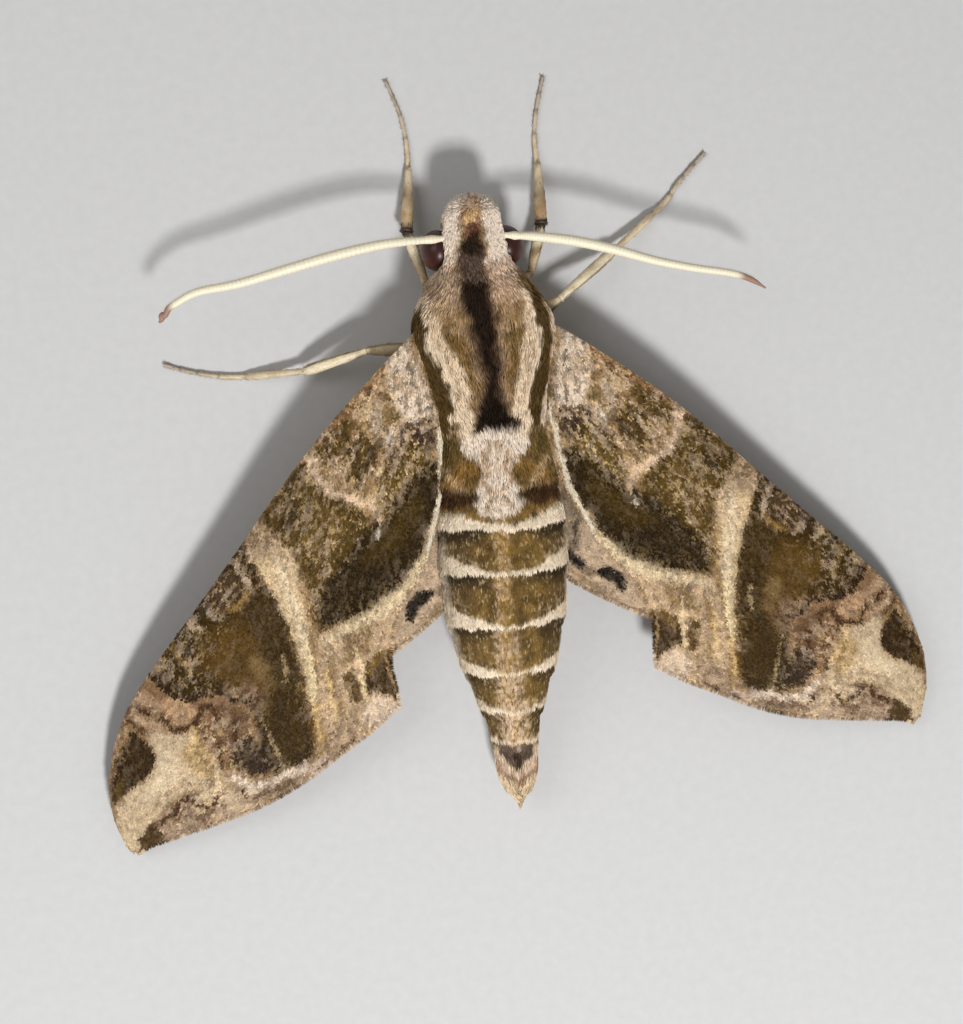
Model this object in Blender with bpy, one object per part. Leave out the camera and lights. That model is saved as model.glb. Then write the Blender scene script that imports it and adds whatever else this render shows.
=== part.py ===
"""A hawk moth at rest, life size, with its wings half spread and its six feet on the ground.

The moth faces +Y and its feet stand on Z = 0. Sizes are in millimetres in the moth's own frame,
where X = 0 is the line down its back and Y = 0 is just behind the roots of the forewings.
The empty "moth" carries every piece and puts the middle of the whole outline over the origin."""
from math import cos, pi, radians, sin
import bmesh
import bpy
import numpy as np
from mathutils import Vector

MM = 0.001
GAP = 0.3                    # clear space between two pieces that touch in life
PLATE = 0.6                  # thickness of a wing
MOTH_AT = (-2.24, 11.69)     # brings the middle of the whole outline over the origin

# Down the body: distance forward, sideways lean, half width, top, underside.
BODY = [
    (16.4, -0.45, 1.2, 7.0, 4.6),
    (16.2, -0.45, 1.9, 7.6, 4.0),
    (15.6, -0.45, 2.7, 8.3, 3.4),
    (14.4, -0.45, 3.25, 9.0, 2.9),
    (13.0, -0.45, 3.45, 9.5, 2.8),
    (11.7, -0.45, 3.7, 9.9, 2.8),
    (9.2, -0.40, 3.9, 10.4, 2.8),
    (7.8, -0.35, 4.9, 11.0, 2.7),
    (6.0, -0.25, 6.2, 11.9, 2.5),
    (3.8, -0.15, 7.5, 12.6, 2.3),
    (1.5, -0.10, 8.1, 12.9, 2.2),
    (-3.0, 0.00, 7.5, 13.0, 2.1),
    (-9.0, 0.15, 6.6, 12.4, 1.9),
    (-14.0, 0.30, 6.7, 12.2, 1.6),
    (-18.5, 0.35, 7.0, 12.1, 1.3),
    (-23.0, 0.30, 7.1, 11.9, 1.1),
    (-27.0, 0.25, 6.9, 11.5, 1.0),
    (-31.0, 0.20, 6.4, 10.9, 1.0),
    (-34.5, 0.25, 5.6, 9.9, 1.0),
    (-38.0, 0.30, 4.5, 8.6, 1.1),
    (-41.5, 0.40, 3.5, 7.2, 1.3),
    (-44.0, 0.45, 3.0, 6.3, 1.5),
    (-48.0, 0.55, 2.5, 4.9, 1.8),
    (-50.4, 0.60, 1.3, 3.9, 2.1),
    (-51.6, 0.60, 0.3, 3.3, 2.6),
]
WAIST = 0.46                 # how high up its side the body is widest
SQUARENESS = 2.25            # 2 is an ellipse, and more is squarer

HEAD_BACK = 9.1
HEAD_FRONT = 13.6
SNOUT_TIP = 16.4
COLLAR_BACK = 4.8
THORAX_BACK = -9.0
SEGMENT_ENDS = [-15.0, -19.7, -24.6, -30.3, -36.2, -40.2, -43.8]
TAIL_TIP = -51.6
RIM = 0.25                   # how far each ring of the abdomen stands out over the next

EYE_AT = (3.75, 10.5, 5.9)
EYE_SIZE = (1.85, 2.2, 2.5)

# The forewing on the flat, from its root at (0, 0): distance out, distance back.
WING_LENGTH = 63.0
COSTA = [(0, 0), (6, -1.7), (13, -3.4), (20, -4.6), (28, -5.6), (36, -6.7), (43, -7.7),
         (49, -8.1), (54, -7.2), (58, -5.5), (61, -3.1), (63, -0.4)]
INNER_MARGIN = [(0, 8), (7, 10), (13, 11.7), (18.5, 12.8), (22, 13.1), (26, 13.3), (29, 14.0),
                (31.5, 15.1), (33.4, 16.7), (35.2, 18.1)]
OUTER_MARGIN = [(35.2, 18.1), (39, 16.7), (43, 14.8), (47.5, 12.7), (52, 9.8), (56, 6.3),
                (59.5, 3.0), (61.6, 1.1), (63, 0.3)]
TORNUS = 35.2
HIND_FROM = 4.0
HIND_LENGTH = 44.0
HIND_COSTA = [(4, 3.0), (10, 0.2), (18, -2.0), (27, -2.6), (35, -1.4), (40, 1.2), (44, 5.2)]
HIND_MARGIN = [(4, 12.0), (10, 16.5), (16, 18.7), (21, 18.4), (24.3, 17.4), (28.4, 15.8),
               (33, 13.6), (38, 10.8), (42, 8.0), (44, 6.2)]

WING_ROOT = (8.6, 1.1, 8.5)
WING_DROOP = [(0, 0), (15, 0.7), (30, 1.7), (42, 2.9), (52, 4.5), (63, 7.0)]
LEADING_SAG = 0.012          # per mm, squared, ahead of the root
TRAILING_SAG = 0.05          # per mm behind the root
HIND_BELOW = 1.0
WINGS = {                    # side, angle back from the cross line, length
    "left": (-1, 31.9, 63.2),
    "right": (1, 38.9, 61.9),
}

# Each leg: hip, knee, heel, then the points of the foot along the ground.
LEGS = {
    "fore_left": [(-2.6, 4.6, 2.4), (-5.4, 7.2, 3.6), (-6.9, 12.9, 2.2), (-6.1, 18.6, 0.9),
                  (-5.9, 21.8, 0.25), (-6.3, 25.4, 0.25), (-7.6, 29.2, 0.25)],
    "fore_right": [(2.2, 4.6, 2.4), (6.2, 7.4, 3.6), (8.0, 12.7, 2.2), (8.3, 18.9, 0.9),
                   (8.3, 21.8, 0.25), (8.7, 25.0, 0.25), (9.7, 28.6, 0.25)],
    "mid_left": [(-3.4, 0.2, 2.2), (-12.6, 0.4, 4.8), (-19.2, -1.3, 1.7), (-25.4, -1.4, 0.25),
                 (-28.6, -1.1, 0.25), (-31.9, -0.3, 0.25), (-34.0, 0.5, 0.25)],
    "mid_right": [(3.2, 0.8, 2.2), (9.1, 4.4, 4.4), (15.8, 9.0, 1.7), (22.1, 13.8, 0.25),
                  (23.7, 15.7, 0.25), (26.0, 18.0, 0.25), (27.3, 19.2, 0.25)],
    "hind_left": [(-3.0, -5.2, 2.2), (-9.6, -8.6, 3.6), (-13.4, -17.2, 1.6), (-16.4, -23.4, 0.25),
                  (-17.8, -26.4, 0.25), (-19.2, -29.4, 0.25), (-20.4, -31.4, 0.25)],
    "hind_right": [(3.2, -5.2, 2.2), (9.8, -8.6, 3.6), (13.8, -17.2, 1.6), (17.0, -23.4, 0.25),
                   (18.5, -26.4, 0.25), (20.0, -29.4, 0.25), (21.3, -31.4, 0.25)],
}
FEMUR_GIRTH = [0.42, 0.62, 0.72, 0.70, 0.46]
TIBIA_GIRTH = [0.42, 0.55, 0.60, 0.62, 0.50]
FOOT_GIRTH = [0.44, 0.50, 0.42, 0.36, 0.33, 0.30, 0.28]
KNEE_CLEAR = 0.36            # how far each end stops short of the knee and of the heel
HEEL_CLEAR = 0.22
HIP_MARGIN = 0.12            # more than the gap, because the femur leaves the body aslant

ANTENNAE = {
    "left": [(-4.7, 11.65, 8.2), (-10.0, 11.5, 9.0), (-15.4, 10.7, 9.2), (-20.7, 9.6, 9.0),
             (-25.9, 8.5, 8.6), (-30.0, 8.0, 8.0), (-32.2, 7.1, 7.7), (-33.7, 6.1, 7.4),
             (-34.3, 4.9, 7.2)],
    "right": [(3.8, 11.45, 8.2), (6.5, 11.1, 8.6), (10.5, 10.3, 9.0), (14.6, 9.1, 9.2),
              (18.7, 7.7, 9.0), (22.9, 6.6, 8.7), (27.3, 5.7, 8.2), (29.6, 4.9, 7.7),
              (31.4, 3.8, 7.2)],
}
ANTENNA_GIRTH = [(0, 0.34), (0.06, 0.44), (0.6, 0.44), (0.85, 0.34), (1, 0.25)]

COLOURS = {                  # plain colour and roughness of each kind of piece
    "body": ((0.25, 0.18, 0.10, 1.0), 0.85),
    "belly": ((0.30, 0.22, 0.12, 1.0), 0.85),
    "wing": ((0.16, 0.11, 0.045, 1.0), 0.75),
    "leg": ((0.50, 0.37, 0.17, 1.0), 0.6),
    "antenna": ((0.78, 0.70, 0.50, 1.0), 0.6),
    "eye": ((0.06, 0.02, 0.02, 1.0), 0.15),
}


# ---- curves and materials -------------------------------------------------------------------

def read_curve(table, at):
    """Read a smooth curve through a table's rows at a value of its first column."""
    rows = np.array(sorted(table), dtype=float)
    xs = rows[:, 0]
    ys = rows[:, 1:]
    slopes = np.gradient(ys, xs, axis=0)
    i = int(np.clip(np.searchsorted(xs, at) - 1, 0, len(xs) - 2))
    span = xs[i + 1] - xs[i]
    t = (at - xs[i]) / span
    start = (1 + 2 * t) * (1 - t) ** 2 * ys[i] + t * (1 - t) ** 2 * span * slopes[i]
    end = t * t * (3 - 2 * t) * ys[i + 1] - t * t * (1 - t) * span * slopes[i + 1]
    return start + end


def smooth_path(points, count):
    """Give evenly spread points on a smooth curve through the given ones."""
    table = [(i, *point) for i, point in enumerate(points)]
    steps = np.linspace(0, len(points) - 1, count)
    return [Vector(read_curve(table, step)) for step in steps]


def make_material(kind):
    """Give the one material of a kind of piece."""
    if kind in bpy.data.materials:
        return bpy.data.materials[kind]
    colour, roughness = COLOURS[kind]
    material = bpy.data.materials.new(kind)
    material.use_nodes = True
    shader = material.node_tree.nodes["Principled BSDF"]
    shader.inputs["Base Color"].default_value = colour
    shader.inputs["Roughness"].default_value = roughness
    shader.inputs["Metallic"].default_value = 0.0
    return material


def add_piece(name, mesh_builder, kind, moth):
    """Turn a builder in millimetres into a named object that the moth carries."""
    bmesh.ops.scale(mesh_builder, vec=(MM, MM, MM), verts=mesh_builder.verts)
    bmesh.ops.recalc_face_normals(mesh_builder, faces=mesh_builder.faces)
    mesh = bpy.data.meshes.new(name)
    mesh_builder.to_mesh(mesh)
    mesh_builder.free()
    mesh.shade_smooth()
    mesh.set_sharp_from_angle(angle=radians(50))
    mesh.materials.append(make_material(kind))
    piece = bpy.data.objects.new(name, mesh)
    bpy.context.collection.objects.link(piece)
    piece.parent = moth
    return piece


def bridge_rings(rings):
    """Join rings of points into one closed body, with a flat cap at each end."""
    builder = bmesh.new()
    loops = [[builder.verts.new(point) for point in ring] for ring in rings]
    for near, far in zip(loops, loops[1:]):
        for i in range(len(near)):
            j = (i + 1) % len(near)
            builder.faces.new((near[i], near[j], far[j], far[i]))
    builder.faces.new(loops[0])
    builder.faces.new(loops[-1])
    return builder


# ---- body -----------------------------------------------------------------------------------

def body_section(y):
    """Give the lean, half width, waist height, and the rise and fall from the waist."""
    lean, half_width, top, underside = read_curve(BODY, y)
    waist = underside + WAIST * (top - underside)
    return lean, half_width, waist, top - waist, waist - underside


def inside_body(point, margin):
    """Tell whether a point is in the body or within a margin of its side."""
    if not TAIL_TIP < point[1] < BODY[0][0]:
        return False
    lean, half_width, waist, rise, fall = body_section(point[1])
    across = abs(point[0] - lean) / (half_width + margin)
    height = point[2] - waist
    up = height / (rise + margin) if height > 0 else -height / (fall + margin)
    return across ** SQUARENESS + up ** SQUARENESS < 1


def body_ring(y, swell=0.0, sides=24, half=0):
    """Give one ring of points round the body, or round its left (-1) or right (1) half."""
    lean, half_width, waist, rise, fall = body_section(y)
    if half:
        half_width = (half_width - GAP / 2) / 2
        lean += half * (half_width + GAP / 2)
    ring = []
    for k in range(sides):
        angle = 2 * pi * k / sides
        c = abs(cos(angle)) ** (2 / SQUARENESS) * (1 if cos(angle) > 0 else -1)
        s = abs(sin(angle)) ** (2 / SQUARENESS) * (1 if sin(angle) > 0 else -1)
        height = (rise + swell) if s > 0 else (fall + swell)
        ring.append((lean + c * (half_width + swell), y, waist + s * height))
    return ring


def make_body_length(name, front, back, rings, moth, kind="body", rim=0.0):
    """Loft a length of the body between two distances forward."""
    steps = np.linspace(front - GAP / 2, back + GAP / 2, rings)
    swells = rim * (np.linspace(0, 1, rings) ** 2 - 1)
    builder = bridge_rings([body_ring(y, swell) for y, swell in zip(steps, swells)])
    return add_piece(name, builder, kind, moth)


def make_ball(name, centre, size, kind, moth, sides=16):
    """Make an egg-shaped piece."""
    builder = bmesh.new()
    bmesh.ops.create_uvsphere(builder, u_segments=sides, v_segments=sides // 2 + 2, radius=1)
    bmesh.ops.scale(builder, vec=size, verts=builder.verts)
    bmesh.ops.translate(builder, vec=centre, verts=builder.verts)
    return add_piece(name, builder, kind, moth)


def make_palp(name, side, moth):
    """Make one of the two scaly feelers that stand side by side as the snout."""
    steps = HEAD_FRONT + GAP / 2 + (SNOUT_TIP - HEAD_FRONT - GAP) * np.sin(np.linspace(0, pi / 2, 6))
    rings = [body_ring(y, sides=14, half=side) for y in steps]
    return add_piece(name, bridge_rings(rings), "body", moth)


def make_head(moth):
    """Make the head and collar, hollowed on each side for the eyes, and the palps before them."""
    head = make_body_length("head", HEAD_FRONT, HEAD_BACK, 6, moth)
    collar = make_body_length("collar", HEAD_BACK, COLLAR_BACK, 5, moth)
    lean = body_section(EYE_AT[1])[0]
    for side, name in ((-1, "left"), (1, "right")):
        centre = (lean + side * EYE_AT[0], EYE_AT[1], EYE_AT[2])
        make_ball("eye_" + name, centre, EYE_SIZE, "eye", moth)
        socket = make_ball("socket_" + name, centre, [r + GAP for r in EYE_SIZE], "eye", moth)
        socket.hide_render = True
        socket.display_type = "WIRE"
        for piece in (head, collar):
            cut = piece.modifiers.new("socket_" + name, "BOOLEAN")
            cut.object = socket
            cut.operation = "DIFFERENCE"
        make_palp("palp_" + name, side, moth)


def make_trunk(moth):
    """Make the thorax, the rings of the abdomen and the tail tuft."""
    make_body_length("thorax", COLLAR_BACK, THORAX_BACK, 9, moth)
    front = THORAX_BACK
    for number, back in enumerate(SEGMENT_ENDS, 1):
        make_body_length("abdomen_%d" % number, front, back, 5, moth, "belly", RIM)
        front = back
    make_body_length("tail_tuft", front, TAIL_TIP, 7, moth, "belly")


# ---- wings ----------------------------------------------------------------------------------

def wing_point(wing, out, back, below):
    """Put a point of the flat wing pattern on the drooping wing, in the moth's frame."""
    side, sweep, length = WINGS[wing]
    scale = length / WING_LENGTH
    turn = radians(sweep)
    across = side * (WING_ROOT[0] + scale * (out * sin(turn) - back * cos(turn)))
    along = WING_ROOT[1] - scale * (out * cos(turn) + back * sin(turn))
    sag = LEADING_SAG * back * back if back < 0 else TRAILING_SAG * back
    droop = read_curve(WING_DROOP, out)[0]
    return across + body_section(WING_ROOT[1])[0], along, WING_ROOT[2] - droop - sag - below


def first_met(meets, start, end, step=0.4):
    """Find where a test first holds between two values, or the end if it never does."""
    for near in np.arange(start, end, step):
        far = min(near + step, end)
        if meets(far):
            for _ in range(6):
                middle = (near + far) / 2
                near, far = (near, middle) if meets(middle) else (middle, far)
            return near
    return end


def make_wing(name, wing, stations, lead_curve, trail_curve, below, moth):
    """Build a wing as a plate of even thickness over a grid of points."""
    columns = np.linspace(0, 1, 8)
    rings = []
    for out in stations:
        lead = lead_curve(out)
        trail = first_met(lambda back: inside_body(wing_point(wing, out, back, below), GAP),
                          lead, trail_curve(out))
        row = [wing_point(wing, out, lead + (trail - lead) * t, below) for t in columns]
        upper = [(x, y, z + PLATE / 2) for x, y, z in row]
        lower = [(x, y, z - PLATE / 2) for x, y, z in reversed(row)]
        rings.append(upper + lower)
    return add_piece(name, bridge_rings(rings), "wing", moth)


def fore_trail(out):
    """Give the back edge of the forewing: the inner margin, then the outer one."""
    table = INNER_MARGIN if out <= TORNUS else OUTER_MARGIN
    return read_curve(table, out)[0]


def make_wings(moth):
    """Make both forewings and the hindwings that lie under them."""
    fore = np.concatenate([np.linspace(0.2, TORNUS, 13), np.linspace(37, 62.9, 12)])
    hind = np.linspace(HIND_FROM + 1, HIND_LENGTH - 0.1, 14)
    for wing in WINGS:
        make_wing("forewing_" + wing, wing, fore, lambda x: read_curve(COSTA, x)[0],
                  fore_trail, 0.0, moth)
        make_wing("hindwing_" + wing, wing, hind, lambda x: read_curve(HIND_COSTA, x)[0],
                  lambda x: read_curve(HIND_MARGIN, x)[0], HIND_BELOW, moth)


# ---- legs and antennae ----------------------------------------------------------------------

def make_limb(name, path, girths, kind, moth, sides=8):
    """Sweep a round section along a path; whatever would pass below the ground is flat on it."""
    rings = []
    for i, centre in enumerate(path):
        ahead = (path[min(i + 1, len(path) - 1)] - path[max(i - 1, 0)]).normalized()
        aside = ahead.cross(Vector((0, 0, 1))).normalized()
        upward = aside.cross(ahead)
        ring = []
        for k in range(sides):
            angle = 2 * pi * (k + 0.5) / sides
            point = centre + (cos(angle) * aside + sin(angle) * upward) * girths[i]
            ring.append((point.x, point.y, max(point.z, 0.0)))
        rings.append(ring)
    return add_piece(name, bridge_rings(rings), kind, moth)


def between(start, end, girths, clear_start, clear_end):
    """Give points from start to end, one for each girth, held clear of the joints."""
    line = end - start
    heading = line.normalized()
    first = start + heading * clear_start
    last = end - heading * clear_end
    return [first.lerp(last, t) for t in np.linspace(0, 1, len(girths))]


def first_clear(hip, knee):
    """Find how far along the femur it comes out of the body."""
    length = (knee - hip).length
    margin = GAP + HIP_MARGIN
    return first_met(lambda t: not inside_body(hip.lerp(knee, t / length), margin), 0, length)


def make_legs(moth):
    """Make the femur, tibia and foot of each leg."""
    for leg, points in LEGS.items():
        hip, knee, heel, *toes = [Vector(point) for point in points]
        femur = between(hip, knee, FEMUR_GIRTH, first_clear(hip, knee), KNEE_CLEAR)
        make_limb("femur_" + leg, femur, FEMUR_GIRTH, "leg", moth)
        tibia = between(knee, heel, TIBIA_GIRTH, KNEE_CLEAR, HEEL_CLEAR)
        make_limb("tibia_" + leg, tibia, TIBIA_GIRTH, "leg", moth)
        start = heel + (toes[0] - heel).normalized() * HEEL_CLEAR
        foot = smooth_path([start] + toes, 9)
        steps = np.linspace(0, len(FOOT_GIRTH) - 1, len(foot))
        girths = [read_curve(list(enumerate(FOOT_GIRTH)), step)[0] for step in steps]
        make_limb("foot_" + leg, foot, girths, "leg", moth)


def make_antennae(moth):
    """Make the two antennae, each hooked at its tip."""
    for side, points in ANTENNAE.items():
        path = smooth_path([Vector(point) for point in points], 25)
        steps = np.linspace(0, 1, len(path))
        girths = [read_curve(ANTENNA_GIRTH, step)[0] for step in steps]
        make_limb("antenna_" + side, path, girths, "antenna", moth)


def main():
    for thing in list(bpy.data.objects):
        bpy.data.objects.remove(thing)
    moth = bpy.data.objects.new("moth", None)
    bpy.context.collection.objects.link(moth)
    moth.location = (MOTH_AT[0] * MM, MOTH_AT[1] * MM, 0)
    make_head(moth)
    make_trunk(moth)
    make_wings(moth)
    make_legs(moth)
    make_antennae(moth)


main()
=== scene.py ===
"""A hawk moth at rest, life size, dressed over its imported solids.

The moth's own frame is used for every shape: millimetres, its head towards +Y, its feet on Z = 0,
X = 0 down its back and Y = 0 just behind the roots of the forewings. One skin stands for all the
flesh, and lies inside the solids by the depth of the coat. The coat is solid mesh: locks of hair
on the thorax and head, and flat scales on the abdomen, wings and legs. Skin, wings and coats take
their colours from the same markings."""
from itertools import product
from math import pi, radians

import bpy
import numpy as np
from mathutils import Matrix, Vector
from mathutils.bvhtree import BVHTree


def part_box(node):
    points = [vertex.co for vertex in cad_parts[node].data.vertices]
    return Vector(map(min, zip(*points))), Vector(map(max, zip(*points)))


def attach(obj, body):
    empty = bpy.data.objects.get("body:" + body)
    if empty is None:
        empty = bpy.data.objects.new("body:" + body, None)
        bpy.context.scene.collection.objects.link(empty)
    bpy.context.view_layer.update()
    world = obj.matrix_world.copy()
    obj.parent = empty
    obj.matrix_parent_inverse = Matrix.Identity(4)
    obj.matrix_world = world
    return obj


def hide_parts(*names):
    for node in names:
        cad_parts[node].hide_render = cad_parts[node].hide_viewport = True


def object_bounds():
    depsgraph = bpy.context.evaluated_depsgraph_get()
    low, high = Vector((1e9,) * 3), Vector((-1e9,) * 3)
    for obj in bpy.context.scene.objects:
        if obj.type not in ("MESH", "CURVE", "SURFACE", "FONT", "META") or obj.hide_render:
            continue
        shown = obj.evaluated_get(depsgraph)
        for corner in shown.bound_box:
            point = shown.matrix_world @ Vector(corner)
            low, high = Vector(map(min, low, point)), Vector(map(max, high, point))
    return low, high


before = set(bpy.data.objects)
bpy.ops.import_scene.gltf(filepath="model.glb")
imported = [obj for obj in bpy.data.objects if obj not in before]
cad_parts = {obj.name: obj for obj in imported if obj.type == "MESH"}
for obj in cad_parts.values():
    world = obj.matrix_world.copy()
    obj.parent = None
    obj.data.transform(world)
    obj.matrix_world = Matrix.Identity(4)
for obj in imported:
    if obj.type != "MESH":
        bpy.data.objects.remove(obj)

CAD_LOW, CAD_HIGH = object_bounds()
MM = 0.001

# The thorax runs from 8.85 behind the moth's Y = 0, and its middle is 0.1 left of X = 0.
THORAX_LOW, THORAX_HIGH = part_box("thorax")
ORIGIN = np.array([(THORAX_LOW.x + THORAX_HIGH.x) / 2 + 0.10 * MM, THORAX_LOW.y + 8.85 * MM, 0.0])

RINGS = ["abdomen_%d" % number for number in range(1, 8)]
FLESH = ["head", "collar", "thorax", "palp_left", "palp_right", *RINGS, "tail_tuft"]
RING_ENDS = [-14.2, -19.1, -23.9, -29.7, -35.1, -39.5, -43.3]   # rear edges of the rings
SNOUT = 16.1                 # front and back of the skin
TAIL = -51.2

# How far the skin lies inside the solids: the depth of the coat down the body.
COAT_DEPTH = [(16.4, 0.30), (13.0, 0.45), (9.5, 0.45), (6.0, 0.4), (2.5, 0.5), (-2.0, 0.9),
              (-8.0, 0.9), (-11.0, 0.6), (-40.0, 0.45), (-44.0, 0.6), (-51.6, 0.5)]

# ---- wings on the flat: distance out from the root, distance back, as the solids have them ----
WING_LENGTH = 63.0
TORNUS = 35.2                # the hind corner of the forewing
COSTA = [(0, 0), (6, -1.7), (13, -3.4), (20, -4.6), (28, -5.6), (36, -6.7), (43, -7.7),
         (49, -8.1), (54, -7.2), (58, -5.5), (61, -3.1), (63, -0.4)]
INNER_MARGIN = [(0, 8), (7, 10), (13, 11.7), (18.5, 12.8), (22, 13.1), (26, 13.3), (29, 14.0),
                (31.5, 15.1), (33.4, 16.7), (35.2, 18.1)]
OUTER_MARGIN = [(35.2, 18.1), (39, 16.7), (43, 14.8), (47.5, 12.7), (52, 9.8), (56, 6.3),
                (59.5, 3.0), (61.6, 1.1), (63, 0.3)]
HIND_COSTA = [(4, 3.0), (10, 0.2), (18, -2.0), (27, -2.6), (35, -1.4), (40, 1.2), (44, 5.2)]
HIND_MARGIN = [(4, 12.0), (10, 16.5), (16, 18.7), (21, 18.4), (24.3, 17.4), (28.4, 15.8),
               (33, 13.6), (38, 10.8), (42, 8.0), (44, 6.2)]
WING_ROOT = (8.6, 1.1, 8.5)
WING_DROOP = [(0, 0), (15, 0.7), (30, 1.7), (42, 2.9), (52, 4.5), (63, 7.0)]
LEADING_SAG = 0.012
TRAILING_SAG = 0.05
HIND_BELOW = 1.0
WINGS = {"left": (-1, 31.9, 63.2), "right": (1, 38.9, 61.9)}   # side, sweep, length
MEMBRANE = 0.2               # thickness of the wing under its scales


# ---- numbers, curves and soft random patches -------------------------------------------------

def linear(hex_colour):
    """Turn an sRGB hex colour into linear light."""
    parts = np.array([int(hex_colour[i:i + 2], 16) for i in (1, 3, 5)]) / 255
    return np.where(parts <= 0.04045, parts / 12.92, ((parts + 0.055) / 1.055) ** 2.4)


def smooth(value):
    """Ease a value from 0 to 1."""
    value = np.clip(value, 0, 1)
    return value * value * (3 - 2 * value)


def unit(vectors):
    """Make every vector one long."""
    return vectors / np.maximum(np.linalg.norm(vectors, axis=-1, keepdims=True), 1e-12)


def read_curve(table, at):
    """Read a smooth curve through a table's rows at each value of its first column."""
    rows = np.array(sorted(table), dtype=float)
    xs = rows[:, 0]
    ys = rows[:, 1:]
    slopes = np.gradient(ys, xs, axis=0)
    at = np.asarray(at, dtype=float)
    held = np.clip(at, xs[0], xs[-1])
    i = np.clip(np.searchsorted(xs, held) - 1, 0, len(xs) - 2)
    span = (xs[i + 1] - xs[i])[..., None]
    t = (held - xs[i])[..., None] / span
    start = (1 + 2 * t) * (1 - t) ** 2 * ys[i] + t * (1 - t) ** 2 * span * slopes[i]
    end = t * t * (3 - 2 * t) * ys[i + 1] - t * t * (1 - t) * span * slopes[i + 1]
    both = start + end
    return both[..., 0] if both.shape[-1] == 1 else both


def smooth_path(points, count):
    """Give evenly spread points on a smooth curve through the given ones."""
    table = [(i, *point) for i, point in enumerate(points)]
    return read_curve(table, np.linspace(0, len(points) - 1, count))


TWIST = np.array([(0.80, 0.60, 0.21), (-0.60, 0.80, -0.37), (-0.35, 0.16, 0.92)])   # hides the grain
STRIDE = np.array([127.1, 311.7, 74.7])   # far enough apart that no two cells share a value
SCATTER = 43758.5453         # so large that a sine's last digits make a random value
SEED_STEP = 17.31            # cells between one seed's patches and the next one's


def dapple(points, size, seed):
    """Give soft random patches from 0 to 1, of a size in millimetres."""
    axes = points.shape[-1]
    place = np.asarray(points, dtype=float) @ TWIST[:axes, :axes] / size + seed * SEED_STEP
    cell = np.floor(place)
    part = smooth(place - cell)
    total = np.zeros(place.shape[:-1])
    for corner in product((0, 1), repeat=axes):
        value = np.abs(np.sin((cell + corner) @ STRIDE[:axes]) * SCATTER) % 1
        total += value * np.prod(np.where(corner, part, 1 - part), axis=-1)
    return total


# ---- painting with marks ---------------------------------------------------------------------

def cover(x, y, points, soft):
    """Say how far each place is covered by a mark: three numbers a point make a line with its
    half width, and two make the outline of an area."""
    is_line = len(points[0]) == 3
    ends = np.array(points, dtype=float)
    if not is_line:
        ends = np.c_[np.vstack([ends, ends[:1]]), np.zeros(len(points) + 1)]
    depth = np.full(x.shape, -1e9)
    inside = np.zeros(x.shape, dtype=bool)
    for (ax, ay, aw), (bx, by, bw) in zip(ends, ends[1:]):
        run_x = bx - ax
        run_y = by - ay
        t = np.clip(((x - ax) * run_x + (y - ay) * run_y) / (run_x ** 2 + run_y ** 2), 0, 1)
        gap = np.hypot(x - ax - t * run_x, y - ay - t * run_y)
        depth = np.maximum(depth, aw + (bw - aw) * t - gap)
        if not is_line and by != ay:
            crosses = (ay > y) != (by > y)
            inside ^= crosses & (x < ax + run_x * (y - ay) / run_y)
    if not is_line:
        depth = np.where(inside, -depth, depth)
    return smooth(0.5 + depth / soft / 2)


def lay(colours, hex_colour, amount):
    """Lay a colour over others by an amount from 0 to 1."""
    amount = np.asarray(amount)[..., None]
    return colours * (1 - amount) + linear(hex_colour) * amount


CRISPNESS = 0.6              # how much of a mark's softness is left under the coat's own blur


def paint_marks(colours, x, y, marks):
    """Lay marks over a ground, in order: name, colour, strength, softness, points."""
    for _, hex_colour, strength, soft, points in marks:
        colours = lay(colours, hex_colour, strength * cover(x, y, points, soft * CRISPNESS))
    return colours


# ---- materials -------------------------------------------------------------------------------

def add_node(tree, kind, settings=None, **links):
    """Add a node, set its properties or inputs by name, and link its inputs by name."""
    node = tree.nodes.new(kind)
    for name, value in (settings or {}).items():
        if hasattr(node, name):
            setattr(node, name, value)
        else:
            node.inputs[name].default_value = value
    for name, source in links.items():
        tree.links.new(source, node.inputs[name.replace("_", " ")])
    return node


def make_finish(name, roughness, grain, bump, depth, shade=0.25, streak=(1, 1, 1), **shader_sockets):
    """Make a material that takes its colour from the painted marks, with a fine grain in
    millimetres that lightens, darkens and roughens it, and raises it by a depth in millimetres."""
    material = bpy.data.materials.new(name)
    material.use_nodes = True
    tree = material.node_tree
    shader = tree.nodes["Principled BSDF"]
    paint = add_node(tree, "ShaderNodeVertexColor", {"layer_name": "paint"})
    place = add_node(tree, "ShaderNodeTexCoord")
    drawn = add_node(tree, "ShaderNodeMapping", {"Scale": [s / (grain * MM) for s in streak]},
                     Vector=place.outputs["Object"])
    fine = add_node(tree, "ShaderNodeTexNoise", {"Scale": 1.0, "Detail": 3.0, "Roughness": 0.6},
                    Vector=drawn.outputs["Vector"])
    tone = add_node(tree, "ShaderNodeMapRange",
                    {"From Min": 0.3, "From Max": 0.7, "To Min": 1 - shade, "To Max": 1 + shade},
                    Value=fine.outputs["Fac"])
    shaded = add_node(tree, "ShaderNodeVectorMath", {"operation": "SCALE"},
                      Scale=tone.outputs["Result"])
    tree.links.new(paint.outputs["Color"], shaded.inputs[0])
    tree.links.new(shaded.outputs["Vector"], shader.inputs["Base Color"])
    dull = add_node(tree, "ShaderNodeMapRange",
                    {"To Min": roughness - 0.08, "To Max": roughness + 0.08},
                    Value=fine.outputs["Fac"])
    tree.links.new(dull.outputs["Result"], shader.inputs["Roughness"])
    raised = add_node(tree, "ShaderNodeBump", {"Strength": bump, "Distance": depth * MM},
                      Height=fine.outputs["Fac"])
    tree.links.new(raised.outputs["Normal"], shader.inputs["Normal"])
    for socket, value in shader_sockets.items():
        shader.inputs[socket.replace("_", " ")].default_value = value
    return material


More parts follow.
